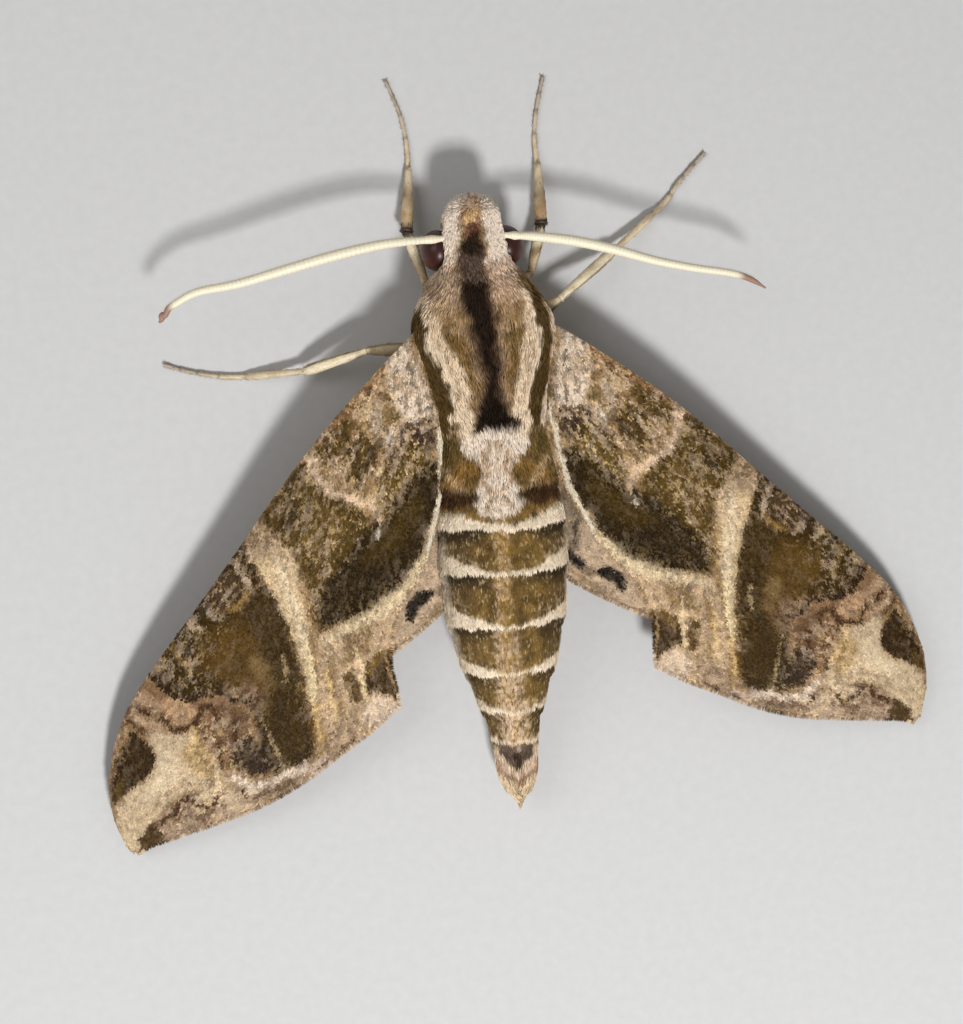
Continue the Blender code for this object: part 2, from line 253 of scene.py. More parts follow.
def hair_finish():
    """The hair-like scales of a hawk moth's head, thorax and wing roots. A dull surface takes the
    painted markings, and a grain drawn out along the body lightens, darkens and roughens it. A
    real hair's ridges, 0.001 mm apart, are drawn 0.12 mm wide, as wide as a lock, so that they
    show. The eye sees a soft dry pile in which no two locks are alike."""
    return make_finish("hair", 0.62, 0.12, 0.25, 0.05, 0.22, (1, 0.25, 1), Specular_IOR_Level=0.08)


def flat_scale_finish():
    """The flat scales that shingle a moth's wings and legs, ridged plates of chitin 0.1 to 0.2 mm
    wide and hardly glossy. Their ridges, 0.002 mm apart, are drawn as a grain of 0.1 mm so that
    they show. The eye sees a powdery bloom."""
    return make_finish("flat_scales", 0.55, 0.10, 0.25, 0.04, 0.2, Specular_IOR_Level=0.03)


def membrane_finish():
    """The wing's thin membrane of chitin under its scales. A grain of 0.16 mm stands for the
    sockets that the scales grow from, which lie in rows 0.1 mm apart, and is drawn coarser so that
    it shows. Where the scales leave gaps, the eye sees more of the same dusty wing."""
    return make_finish("membrane", 0.6, 0.16, 0.5, 0.06, 0.3, Specular_IOR_Level=0.15)


def skin_finish():
    """The flesh under the coat. Its grain is drawn out along the body as short hair that lies flat,
    0.14 mm wide where a real hair has 0.02 mm, so that it shows, and in strong relief. The eye
    sees underfur and not bare skin in the gaps between the locks."""
    return make_finish("skin", 0.7, 0.14, 0.5, 0.08, 0.3, (1, 0.3, 1), Specular_IOR_Level=0.3)


def cuticle_finish():
    """The horny cuticle of legs and antennae, chitin that hardened in the air. It is smoother than
    the coat, and its pores, 0.01 mm wide, are drawn as a faint grain of 0.12 mm so that they show.
    The eye sees a waxy sheen along the tops of the legs."""
    return make_finish("cuticle", 0.45, 0.12, 0.3, 0.03, 0.15, Specular_IOR_Level=0.45)


def eye_finish():
    """A compound eye of thousands of clear lenses, each 0.02 to 0.03 mm across. The grain stands
    for the lenses and spreads the gloss, and is drawn at 0.06 mm so that it shows. The eye sees a
    dark red-brown bead with a broad soft light."""
    return make_finish("eye", 0.36, 0.06, 0.3, 0.01, 0.25, Specular_IOR_Level=0.35)


# ---- making pieces ---------------------------------------------------------------------------

BRIGHTEST = 0.86             # no coat throws back more light than this


def make_piece(name, points, faces, colours, finish, stands_for, patch=None, is_smooth=True):
    """Make a piece from points in the moth's millimetres, face lists, and a colour for each point.
    patch gives each point its place on the unwrap that the coat is baked over."""
    faces = [np.asarray(part) for part in faces]
    corners = np.concatenate([part.ravel() for part in faces]).astype(np.int32)
    sizes = np.concatenate([np.full(len(part), part.shape[1]) for part in faces])
    mesh = bpy.data.meshes.new(name)
    mesh.vertices.add(len(points))
    mesh.vertices.foreach_set("co", (np.asarray(points) * MM + ORIGIN).astype(np.float32).ravel())
    mesh.loops.add(len(corners))
    mesh.loops.foreach_set("vertex_index", corners)
    mesh.polygons.add(len(sizes))
    mesh.polygons.foreach_set("loop_start", (np.cumsum(sizes) - sizes).astype(np.int32))
    mesh.update(calc_edges=True)
    mesh.polygons.foreach_set("use_smooth", np.full(len(sizes), is_smooth))
    paint = mesh.color_attributes.new("paint", "FLOAT_COLOR", "POINT")
    colours = colours / np.maximum(colours.max(axis=-1, keepdims=True) / BRIGHTEST, 1)
    rgba = np.c_[np.maximum(colours, 0.003), np.ones(len(points))]
    paint.data.foreach_set("color", rgba.astype(np.float32).ravel())
    if patch is not None:
        unwrap = mesh.uv_layers.new(name="OFBake")
        unwrap.data.foreach_set("uv", patch[corners].astype(np.float32).ravel())
    mesh.materials.append(finish)
    piece = bpy.data.objects.new(name, mesh)
    bpy.context.collection.objects.link(piece)
    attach(piece, "root")
    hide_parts(*stands_for)
    return piece


def grid_faces(rows, columns, first=0, is_flipped=False):
    """Give the four-cornered faces of a grid of points."""
    i, j = np.meshgrid(np.arange(rows - 1), np.arange(columns - 1), indexing="ij")
    a = (first + i * columns + j).ravel()
    corners = np.c_[a, a + 1, a + columns + 1, a + columns]
    return corners[:, ::-1] if is_flipped else corners


def closed_faces(rows, sides, is_flipped=False):
    """Give the faces of a closed shape, whose points are rings and then a pole for each end: the
    walls between the rings, and a fan over each end."""
    i, j = np.meshgrid(np.arange(rows - 1), np.arange(sides), indexing="ij")
    here = (i * sides + j).ravel()
    beside = (i * sides + (j + 1) % sides).ravel()
    walls = np.c_[here, here + sides, beside + sides, beside]
    ring = np.arange(sides)
    after = np.roll(ring, -1)
    last = (rows - 1) * sides
    front = np.c_[ring, after, np.full(sides, rows * sides)]
    rear = np.c_[after + last, ring + last, np.full(sides, rows * sides + 1)]
    if is_flipped:
        return [walls[:, [0, 3, 2, 1]], front[:, [1, 0, 2]], rear[:, [1, 0, 2]]]
    return [walls, front, rear]


class Surface:
    """A grid of points that coats are scattered over: its rows run along the lie of the coat."""

    def __init__(self, points, outward):
        self.points = points
        self.along = unit(np.gradient(points, axis=0))
        self.across = unit(np.gradient(points, axis=1))
        self.normals = unit(np.cross(self.across, self.along))
        if np.sum(self.normals * outward) < 0:
            self.normals = -self.normals
        step_down = points[1:, :-1] - points[:-1, :-1]
        step_over = points[:-1, 1:] - points[:-1, :-1]
        self.areas = np.linalg.norm(np.cross(step_down, step_over), axis=-1)

    def scatter(self, count, random, wanted=None):
        """Pick places in proportion to area, and to how much each part of the grid is wanted."""
        weights = self.areas if wanted is None else self.areas * wanted[:-1, :-1]
        cells = random.choice(weights.size, count, p=(weights / weights.sum()).ravel())
        row, column = np.divmod(cells, weights.shape[1])
        return row + random.random(count), column + random.random(count)

    def read(self, field, row, column):
        """Read a field of the grid between its points."""
        i = np.clip(row.astype(int), 0, field.shape[0] - 2)
        j = np.clip(column.astype(int), 0, field.shape[1] - 2)
        down = (row - i)[:, None]
        over = (column - j)[:, None]
        values = field.reshape(field.shape[0], field.shape[1], -1)
        near = values[i, j] * (1 - over) + values[i, j + 1] * over
        far = values[i + 1, j] * (1 - over) + values[i + 1, j + 1] * over
        return near * (1 - down) + far * down


# ---- locks and scales ------------------------------------------------------------------------

# A lock is a three-sided strand in two lengths; a scale is a lozenge folded along its middle.
LOCK_FACES = np.array([(2, 1, 0), (0, 1, 4), (0, 4, 3), (1, 2, 5), (1, 5, 4), (2, 0, 3), (2, 3, 5),
                       (3, 4, 6), (4, 5, 6), (5, 3, 6)])
SCALE_FACES = np.array([(0, 2, 1), (1, 2, 3), (0, 1, 3), (0, 3, 2)])
PATCH = 0.003                # width of a tuft's patch on the unwrap


def shape_locks(root, normal, heading, length, width, lift, curl):
    """Shape locks that leave the skin at a slope, then bend back down to lie along it."""
    side = np.cross(normal, heading)
    points = []
    for t, girth in ((0.0, 1.0), (0.5, 0.85)):
        height = length * (lift * t - curl * t * t)
        middle = root + heading * (length * t)[:, None] + normal * height[:, None]
        half = side * (width * girth / 2)[:, None]
        points += [middle - half, middle + half, middle + normal * (width * girth * 0.45)[:, None]]
    tip_height = length * (lift - curl)
    points.append(root + heading * length[:, None] + normal * tip_height[:, None])
    return np.stack(points, axis=1)


def shape_scales(root, normal, heading, length, width, lift):
    """Shape flat scales that overlap like shingles, each a little raised at its tip."""
    side = np.cross(normal, heading)
    waist = root + heading * (length * 0.55)[:, None] + normal * (length * lift * 0.9)[:, None]
    half = side * (width / 2)[:, None]
    tip = root + heading * length[:, None] + normal * (length * lift)[:, None]
    return np.stack([root, waist - half, waist + half, tip], axis=1)


def make_coat(name, tufts, faces, place, colours, tones, finish, stands_for):
    """Join tufts into one piece, each in its own colour from root to tip, and each laid on the
    unwrap as a small patch at its root's place."""
    count, corners, _ = tufts.shape
    shifts = (np.arange(count) * corners)[:, None, None]
    all_faces = (faces[None] + shifts).reshape(-1, 3)
    shades = (colours[:, None] * np.array(tones)[None, :, None]).reshape(-1, 3)
    angles = 2 * pi * np.arange(corners) / corners
    spread = np.c_[np.cos(angles), np.sin(angles)] * PATCH / 2
    patches = np.clip(place[:, None] + spread[None], 0, 1).reshape(-1, 2)
    return make_piece(name, tufts.reshape(-1, 3), [all_faces], shades, finish, stands_for,
                      patches, is_smooth=corners > 4)


# How light each point of a tuft is beside its colour, from root to tip.
LOCK_TONES = (0.80, 0.80, 0.86, 0.97, 0.97, 1.04, 1.16)
SCALE_TONES = (0.85, 1.0, 1.0, 1.08)


# ---- the body's skin -------------------------------------------------------------------------

AROUND = 121                 # points round the skin, the last on the first
STATION_STEP = 0.3
STATIONS = np.arange(SNOUT, TAIL - 0.01, -STATION_STEP)
FAR = 20                     # outside every solid of the body
UNKNOWN_DEPTH = -9.0         # stands for a place in front of the skin or behind it


def spine(y):
    """Give the sideways place and height of the middle of the flesh solids."""
    middles = []
    for node in ["head", "collar", "thorax", *RINGS, "tail_tuft"]:
        low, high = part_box(node)
        middle = ((np.array(low) + np.array(high)) / 2 - ORIGIN) / MM
        middles.append((middle[1], middle[0], middle[2]))
    rows = np.array(sorted(middles))
    return np.interp(y, rows[:, 0], rows[:, 1]), np.interp(y, rows[:, 0], rows[:, 2])


def read_points(mesh):
    """Read the points of a solid, in the moth's millimetres."""
    flat = np.zeros(len(mesh.vertices) * 3)
    mesh.vertices.foreach_get("co", flat)
    return (flat.reshape(-1, 3) - ORIGIN) / MM


def gather_flesh():
    """Gather the flesh solids into one tree of faces."""
    points = []
    faces = []
    for node in FLESH:
        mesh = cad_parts[node].data
        first = len(points)
        points += [tuple(point) for point in read_points(mesh)]
        faces += [tuple(first + v for v in face.vertices) for face in mesh.polygons]
    return BVHTree.FromPolygons(points, faces)


def measure_flesh():
    """Measure how far the solids reach from the spine at each station, all the way round."""
    tree = gather_flesh()
    angles = np.linspace(0, 2 * pi, AROUND)
    reach = np.full((len(STATIONS), AROUND), np.nan)
    for i, y in enumerate(STATIONS):
        x, z = spine(y)
        for j, angle in enumerate(angles):
            way = Vector((np.sin(angle), 0, np.cos(angle)))
            place, _, _, distance = tree.ray_cast(Vector((x, y, z)) + way * FAR, -way)
            if place is not None and distance < FAR:
                reach[i, j] = FAR - distance
    for j in range(AROUND):
        known = ~np.isnan(reach[:, j])
        reach[:, j] = np.interp(-STATIONS, -STATIONS[known], reach[known, j])
    return reach


def soften(field):
    """Average each value with its neighbours, along and round the body."""
    field = (np.roll(field[:, :-1], 1, 1) + 2 * field[:, :-1] + np.roll(field[:, :-1], -1, 1)) / 4
    field = np.c_[field, field[:, :1]]
    padded = np.vstack([field[:1], field, field[-1:]])
    return (padded[:-2] + 2 * padded[1:-1] + padded[2:]) / 4


# The middle line of the markings, which the moth carries a little to the left of its spine.
MIDLINE = [(16.4, -0.4), (15, -0.4), (11.2, -0.9), (9.1, -1.2), (6.4, -1.15), (3.2, -0.85),
           (0, -0.5), (-3.2, -0.2), (-5.0, -0.3), (-6.4, -0.45), (-8.1, -0.3), (-14, -0.4),
           (-20, -0.5), (-32, -0.6), (-38, -0.3), (-42, 0.2), (-46, 0.45), (-51.6, 0.6)]
BULGE = 0.5                  # how far each ring's rear edge bows back at the middle


def ring_place(y, share):
    """Say which ring of the abdomen a place is on, and how far it is from that ring's ends."""
    bowed = y + BULGE * (1 - np.clip(np.abs(share), 0, 1) ** 2) * smooth((-9.5 - y) / 6)
    ends = np.array([-9.0] + RING_ENDS + [-52.0])
    ring = np.clip(np.searchsorted(-ends, -bowed) - 1, 0, len(ends) - 2)
    return ring, ends[ring] - bowed, bowed - ends[ring + 1]


def between_palps(y, angle):
    """Say how far a place is on the face, low and in front, where the two palps meet."""
    return smooth((np.abs(angle) - 1.3) / 0.6) * smooth((y - 12.0) / 1.5)


def skin_relief(x, y, angle):
    """Give the folds of the skin in millimetres: ridges along the shoulders, furrows beside
    them, and the step at the rear edge of each ring of the abdomen."""
    is_top = smooth((pi / 2 - np.abs(angle)) / 0.5)
    aside = np.abs(x - read_curve(MIDLINE, y))
    ridge = cover(aside, y, RIDGE, 1.2)
    furrow = cover(aside, y, SHADED_SHOULDER_SEAM, 0.9)
    hollow = cover(aside, y, SHADED_BACK_STRIPE, 1.2)
    relief = is_top * (0.28 * ridge - 0.32 * furrow - 0.22 * hollow)
    ring, behind, ahead = ring_place(y, angle / (pi / 2))
    is_ring = (y < -14.5) & (ring < 7)
    step = 0.10 * np.clip(behind / 5, 0, 1) - 0.14 * smooth(1 - ahead / 0.3)
    groove = smooth(1 - aside / 0.9) * between_palps(y, angle)
    return relief + np.where(is_ring, step, 0) - 0.8 * groove


# ---- markings of the body --------------------------------------------------------------------
# Places are (distance aside from the middle line, distance forward), and both sides are alike.

RIDGE = [(5.2, 5.2, 0.5), (5.7, 3.4, 0.9), (5.6, 1.7, 1.0), (4.6, -1.4, 1.05), (3.5, -4.5, 0.95),
         (3.2, -6.2, 0.85), (3.3, -7.8, 0.8), (2.7, -9.8, 0.75)]
# A dark line of the moth's own, painted darker still as painted shade in the furrow cut along it.
SHADED_SHOULDER_SEAM = [(6.1, 5.6, 0.4), (6.6, 3.4, 0.75), (6.7, 0.2, 0.95), (6.2, -1.6, 0.95),
                 (5.6, -3.2, 0.95), (5.1, -4.7, 0.9), (4.8, -6.5, 0.75), (4.7, -8.4, 0.6)]
# A dark stripe of the moth's own, painted darker still as painted shade in the hollow cut along it.
SHADED_BACK_STRIPE = [(0, 7.4, 1.0), (0, 6.0, 1.45), (0, 4.0, 1.4), (0, 2.0, 1.15), (0, -0.6, 0.75),
               (0, -3.4, 0.65), (0, -5.0, 0.8), (0, -6.4, 1.35), (0, -7.4, 1.8)]
BODY_MARKS = [
    ("shoulder front", "#b59b82", 0.85, 1.6, [(1.4, 8.8), (4.6, 8.8), (6.2, 5.2), (1.8, 4.0)]),
    ("shoulder gold", "#7c6334", 0.8, 0.9, [(5.0, 7.2, 0.4), (5.9, 5.6, 0.7), (6.2, 4.4, 0.4)]),
    ("olive flanks", "#745a30", 0.85, 1.1, [(2.8, 3.8, 0.9), (3.2, 1.2, 0.95), (2.5, -2.0, 0.75),
        (1.9, -4.4, 0.45)]),
    ("flanks' light", "#bda17f", 0.5, 0.8, [(3.4, 4.8, 0.5), (2.0, 1.8, 0.4), (3.6, 2.0, 0.4)]),
    ("ridge", "#ead5b9", 0.98, 0.8, RIDGE),
    ("ridge's brown", "#8b6f4c", 0.55, 0.6, [(5.4, 4.2, 0.25), (5.0, 1.4, 0.2), (4.0, -2.2, 0.25),
        (3.1, -5.8, 0.2)]),
    ("brown beside the stripe", "#5a4535", 0.9, 1.2, [(0, 9.2, 1.2), (0, 7.4, 1.7), (0, 4.6, 1.8),
        (0, -1.0, 1.3), (0, -4.4, 1.1), (0, -6.4, 1.7), (0, -7.6, 2.2)]),
    # Partly the moth's dark stripe and partly painted shade in its hollow.
    ("back stripe and its painted shade", "#20160f", 0.98, 1.1, SHADED_BACK_STRIPE),
    ("stripe's rear edge", "#1c130b", 0.97, 0.5, [(0, -5.6), (0.9, -5.8), (1.6, -7.0), (2.3, -8.3),
        (2.4, -9.0), (0, -9.0)]),
    ("wing-base down", "#d6c3ae", 0.9, 0.6, [(7.5, 4.6), (9.5, 6.0), (9.5, -7.5), (5.4, -8.6), (5.6, -5.4),
        (6.6, -2.4), (7.7, 0.4)]),
    # Partly the moth's dark line and partly painted shade in its furrow.
    ("shoulder seam and its painted shade", "#493719", 0.98, 0.35, SHADED_SHOULDER_SEAM),
    ("loin sides", "#6c5530", 0.95, 0.8, [(3.4, -9.4), (9, -9.0), (9, -17.6), (2.4, -17.6), (2.6, -15.4),
        (2.2, -12.6), (3.4, -11.2)]),
    ("loin's olive", "#4f4120", 0.85, 0.9, [(3.9, -9.2), (5.6, -9.4), (5.4, -11.6), (4.4, -12.0)]),
    ("loin's gold", "#8a6835", 0.8, 0.8, [(2.8, -13.0, 0.7), (4.4, -14.0, 0.8), (5.4, -14.6, 0.4)]),
    ("loin's flecks", "#b79c78", 0.6, 0.6, [(5.6, -12.4, 0.4), (3.2, -15.6, 0.35), (5.8, -15.2, 0.4)]),
    ("loin patch", "#eadac8", 0.97, 0.6, [(0, -8.9), (1.6, -9.0), (3.4, -9.6), (3.7, -10.6), (2.6, -11.6),
        (1.7, -12.6), (1.5, -14.0), (2.3, -15.4), (2.8, -16.6), (2.0, -17.8), (0, -18.4)]),
    ("loin patch's tan", "#a98a66", 0.7, 0.6, [(0.3, -10.4, 0.25), (1.4, -11.6, 0.45), (0.9, -13.2, 0.5),
        (1.6, -14.4, 0.3), (0.4, -15.4, 0.25), (1.3, -17.2, 0.35)]),
    ("loin bars", "#3f2a19", 0.97, 0.5, [(2.6, -16.0, 0.5), (4.2, -16.2, 1.0), (6.4, -15.9, 1.1)]),
    ("loin gold edge", "#7d602f", 0.8, 0.5, [(1.8, -17.9, 0.3), (3.8, -17.5, 0.3), (6.0, -17.1, 0.25)]),
    ("head pale sides", "#efdfce", 1.0, 0.9, [(0, 16.8), (6, 16.6), (6, 9.4), (4.6, 8.6), (1.6, 8.9),
        (1.2, 15.0), (0, 15.6)]),
    ("neck", "#c9b09a", 0.8, 1.0, [(1.6, 9.0), (4.2, 9.4), (5.2, 7.4), (2.4, 7.0)]),
    ("crown", "#a58468", 0.9, 0.7, [(0, 15.7, 0.4), (0, 14.6, 1.0), (0, 12.6, 0.95)]),
    ("crown's pale locks", "#d8bfa8", 0.7, 0.4, [(1.0, 15.6, 0.25), (0.8, 14.6, 0.25)]),
    ("crown's brown", "#6e4a35", 0.95, 0.6, [(0, 13.0, 0.5), (0, 12.4, 0.8), (0, 11.6, 0.9)]),
    ("crown's fleck", "#d8b683", 0.8, 0.25, [(0.1, 15.0, 0.1), (0.35, 14.5, 0.25), (0, 13.9, 0.3),
        (0.3, 13.4, 0.2)]),
    ("nape", "#5a4a3f", 0.9, 0.9, [(0, 10.2, 1.0), (0, 8.8, 1.15), (0, 7.6, 1.0)]),
    ("crown's spot", "#2a1e16", 0.96, 0.8, [(0.1, 11.3, 0.6), (0.1, 10.7, 1.05), (0, 10.3, 0.9)]),
]


def body_colours(points, angle, share):
    """Give the colour of each place on the body. angle runs round it from the top, and share is
    0 along the top and 1 at its sides."""
    warp = np.stack([dapple(points, 1.1, seed) + 0.5 * dapple(points, 0.4, seed + 5) - 0.75
                     for seed in (1, 2)], axis=-1)
    wander = 0.55 + 0.4 * smooth((points[..., 1] + 12) / 3)
    y = points[..., 1] + wander * warp[..., 1]
    aside = np.abs(points[..., 0] - read_curve(MIDLINE, points[..., 1]) + wander * warp[..., 0])
    coarse = dapple(points, 0.9, 3)
    colours = np.zeros(points.shape) + linear("#977b5a")
    colours = lay(colours, "#b79d7f", 0.6 * smooth(coarse * 2.4 - 0.9))
    colours = lay(colours, "#735a35", 0.5 * smooth(1.2 - coarse * 2.4))
    colours = paint_abdomen(colours, points, y, aside, share)
    colours = paint_marks(colours, aside, y, BODY_MARKS)
    colours = paint_marks(colours, aside, y, TAIL_MARKS)
    belly = smooth((np.abs(angle) - 1.55) / 0.5)
    colours = lay(colours, "#c9b595", 0.9 * belly)
    groove = smooth(1 - aside / 0.45) * between_palps(y, angle)
    colours = lay(colours, "#6b5340", 0.8 * groove)
    curl = smooth((dapple(points, 0.38, 9) - 0.42) * 4)
    tone = 0.82 + 0.30 * curl + 0.14 * dapple(points, 1.0, 10)
    return colours * tone[..., None]


def paint_abdomen(colours, points, y, aside, share):
    """Paint the abdomen's rings: dark in front, olive, then a pale band along the rear edge that
    is wide at the sides and thin at the middle."""
    share = np.clip(np.abs(share), 0, 1)
    ring, behind, ahead = ring_place(y, share)
    on_rings = smooth((-9.3 - y) / 1.2)
    speck = dapple(points, 0.28, 11)
    late = np.clip((ring - 3) / 3, 0, 1)
    ground = np.zeros(points.shape) + linear("#5c4725")
    ground = lay(ground, "#876a38", 0.7 * smooth(dapple(points, 0.9, 12) * 2.4 - 0.7))
    ground = lay(ground, "#675233", 0.85 * smooth((share - 0.42) * 3.2) * (1 - 0.5 * late))
    ground = lay(ground, "#99783c", 0.7 * smooth(1 - (aside - 0.3) / 0.8))
    pale_middle = smooth(1.2 - (aside - 0.3 - 1.3 * late) / 0.9)
    ground = lay(ground, "#c4a88a", 0.6 * pale_middle * smooth(speck * 3 - 1.2))
    ground = lay(ground, "#d2b89c", 0.8 * late * smooth(1.2 - (aside - 0.4) / 1.3) * smooth(speck * 3 - 0.6))
    front = smooth(1 - (behind - 0.5) / 1.6) * smooth((share - 0.2) * 3.0)
    ground = lay(ground, "#2d2419", 0.85 * front * (ring > 1) * (1 - 0.6 * late))
    flecks = smooth(dapple(points, 0.22, 14) * 6 - 4.1)
    ground = lay(ground, "#c4ab84", 0.5 * flecks * (share > 0.15))
    width = (np.where(ring < 2, 0.5, 0.16) + 1.9 * share ** 1.7) * (1 - 0.6 * late)
    band = smooth(0.9 - (ahead - width) / 0.35) * (ring > 0)
    haze = smooth(1.5 - ahead / (width * 1.7)) * smooth(speck * 4 - 1.8) * (ring > 0)
    ground = lay(ground, "#cbb491", 0.85 * haze)
    broken = 1 - smooth(speck * 4 - 1.4) * smooth(1.6 - share * 2.6) * np.where(ring < 2, 0.4, 0.75)
    ground = lay(ground, "#f0dfc6", (0.97 - 0.42 * late) * band * broken)
    edge = smooth(1.4 - ahead / 0.3) * (ring > 0)
    ground = lay(ground, "#fbebd2", 0.8 * edge * (1 - 0.7 * late) * broken)
    ground = lay(ground, "#d3c5b0", 0.9 * smooth((share - 0.88) * 9) * smooth((-19 - y) / 3))
    return colours * (1 - on_rings[..., None]) + ground * on_rings[..., None]


TAIL_MARKS = [
    ("tuft", "#c9b394", 0.97, 0.6, [(0, -44.2), (3.4, -43.8), (3.4, -52), (0, -52)]),
    ("brown chevron", "#8a6a54", 0.85, 0.4, [(2.5, -45.2, 0.35), (1.5, -46.9, 0.5), (0, -48.3, 0.5)]),
    ("pink chevron", "#c6ae97", 0.9, 0.3, [(2.3, -44.6, 0.4), (1.4, -46.4, 0.4), (0, -47.8, 0.35)]),
    ("dark vee", "#54453a", 0.95, 0.35, [(0, -44.0), (1.7, -43.8), (1.7, -45.0), (0.8, -46.0), (0, -47.2)]),
    ("vee's heart", "#33231a", 0.9, 0.4, [(0, -45.2, 0.45), (0, -46.6, 0.3)]),
    ("vee's fleck", "#a08a76", 0.8, 0.3, [(0, -44.1, 0.25), (0, -44.5, 0.2)]),
]


# Half the head's width over the eyes, from its rear forwards.
HEAD_WIDTH = [(8.2, 4.5), (9.2, 4.15), (10.2, 3.95), (11.4, 3.95), (12.5, 3.75), (13.6, 3.55),
              (14.7, 3.6), (15.4, 3.9), (16.1, 4.4)]


def fill_head(reach, y, angles):
    """Fill the head over the eyes' sockets and between the palps, down to the eyes' middles."""
    wide = read_curve(HEAD_WIDTH, y)[:, None]
    tall = reach[:, :1]
    oval = wide * tall / np.hypot(tall * np.sin(angles), wide * np.cos(angles))
    is_upper = smooth((1.45 - np.abs(angles)) / 0.35)
    on_head = smooth((y - 7.6) / 1.4) * smooth((17.0 - y) / 0.8)
    return reach + np.maximum(oval - reach, 0) * is_upper * on_head[:, None]


def closed_paint(colours):
    """Give the colours of a closed shape's points from those of its open grid."""
    return np.vstack([colours[:, :-1].reshape(-1, 3), colours[[0, -1]].mean(1)])


def make_skin(finish):
    """Make the one skin of head, thorax, abdomen and tail, and give its surface for the coats."""
    angles = np.linspace(0, 2 * pi, AROUND)
    signed = np.where(angles > pi, angles - 2 * pi, angles)
    spine_x, spine_z = spine(STATIONS)
    reach = soften(measure_flesh())
    wide = np.maximum(reach[:, 30:31], reach[:, 90:91])
    reach = np.maximum(reach - read_curve(COAT_DEPTH, STATIONS)[:, None], 0.12)
    smoothed = soften(soften(soften(fill_head(reach, STATIONS, signed))))
    on_head = smooth((STATIONS[:, None] - 7.0) / 1.0)
    reach = reach + (smoothed - reach) * on_head
    rounding = np.sqrt(np.clip(1 - ((STATIONS - 13.4) / 2.8).clip(0) ** 2, 0.04, 1))
    pointing = np.clip((STATIONS - TAIL) / 2.4 + 0.1, 0, 1) ** 0.7
    reach = np.maximum(reach * (rounding * pointing)[:, None], 0.1)
    y = np.repeat(STATIONS[:, None], AROUND, 1)
    x = spine_x[:, None] + reach * np.sin(angles)
    relief = skin_relief(x, y, np.repeat(signed[None], len(STATIONS), 0))
    reach = np.maximum(reach + relief * smooth((reach - 0.3) / 1.5), 0.1)
    x = spine_x[:, None] + reach * np.sin(angles)
    z = spine_z[:, None] + reach * np.cos(angles)
    points = np.stack([x, y, z], axis=-1)
    outward = np.stack([np.sin(angles), 0 * angles, np.cos(angles)], axis=-1)[None]
    surface = Surface(points, outward)
    surface.reach = reach
    surface.angle = np.repeat(signed[None], len(STATIONS), 0)
    surface.share = np.clip(np.abs(x - spine_x[:, None]) / np.maximum(wide, 0.3), 0, 1)
    surface.colours = body_colours(points, surface.angle, surface.share)
    poles = np.array([points[0].mean(0) + (0, 0.1, 0), points[-1].mean(0) - (0, 0.1, 0)])
    make_piece("skin", np.vstack([points[:, :-1].reshape(-1, 3), poles]),
               closed_faces(len(STATIONS), AROUND - 1), closed_paint(surface.colours), finish,
               FLESH)
    return surface


def depth_in_skin(points, skin):
    """Say how deep each place lies inside the skin, in millimetres."""
    y = points[..., 1]
    spine_x, spine_z = spine(y)
    aside = points[..., 0] - spine_x
    above = points[..., 2] - spine_z
    row = np.clip((STATIONS[0] - y) / STATION_STEP, 0, len(STATIONS) - 1.001).ravel()
    column = ((np.arctan2(aside, above) % (2 * pi)) / (2 * pi) * (AROUND - 1)).ravel()
    reach = skin.read(skin.reach, row, column).reshape(y.shape)
    beyond = (y > STATIONS[0]) | (y < STATIONS[-1])
    return np.where(beyond, UNKNOWN_DEPTH, reach - np.hypot(aside, above))


# ---- the wings' shape ------------------------------------------------------------------------

VEINS = [                    # along the forewing, from root or cell to the outer edge
    [(0, 0), (12, -2.4), (24, -4.0), (38, -5.9), (50, -7.3)],
    [(0, 0.6), (12, -1.2), (24, -2.4), (36, -4.0), (48, -5.6), (58, -4.8)],
    [(24, -2.4), (34, -2.6), (46, -2.8), (56, -1.6), (62, -0.2)],
    [(33, -2.4), (35, -0.8), (46, 0.2), (55, 1.2), (60, 2.4)],
    [(35, -0.6), (36, 1.2), (46, 3.0), (56.5, 5.8)],
    [(36, 1.0), (34, 3.2), (44, 6.2), (51.5, 9.8)],
    [(1, 2.0), (14, 2.2), (26, 3.0), (34, 4.6), (41, 8.4), (46, 13.2)],
    [(16, 2.4), (26, 6.0), (34, 10.6), (40, 15.8)],
    [(1, 4.0), (12, 7.0), (22, 10.2), (30, 13.0), (35, 17.2)],
]
HIND_VEINS = [[(4, 6), (16, 3), (30, 1.5), (43, 4.8)], [(4, 7), (18, 6), (32, 6.5), (40, 9.0)],
              [(4, 8), (18, 9), (31, 12.6), (34, 13)], [(4, 9), (14, 12), (24, 16.8)]]


def wing_place(wing, out, back, lift):
    """Put places of the flat wing on the drooping wing, in the moth's frame."""
    side, sweep, length = WINGS[wing]
    scale = length / WING_LENGTH
    turn = radians(sweep)
    tuck = smooth((0.6 - out) / 3.0)
    root_x = WING_ROOT[0] * side + spine(WING_ROOT[1])[0] - 0.9 * side * tuck
    x = root_x + side * scale * (out * np.sin(turn) - back * np.cos(turn))
    y = WING_ROOT[1] - scale * (out * np.cos(turn) + back * np.sin(turn))
    sag = np.where(back < 0, LEADING_SAG * back * back, TRAILING_SAG * back)
    z = WING_ROOT[2] - read_curve(WING_DROOP, out) - sag + lift - 1.3 * tuck
    return np.stack([x, y, z], axis=-1)


def vein_height(out, back, veins):
    """Give the ridge that each vein raises: 0.1 mm high and 0.5 mm wide."""
    height = np.zeros(out.shape)
    for vein in veins:
        line = [(x, y, 0.25) for x, y in vein]
        height = np.maximum(height, cover(out, back, line, 0.5))
    return 0.1 * height


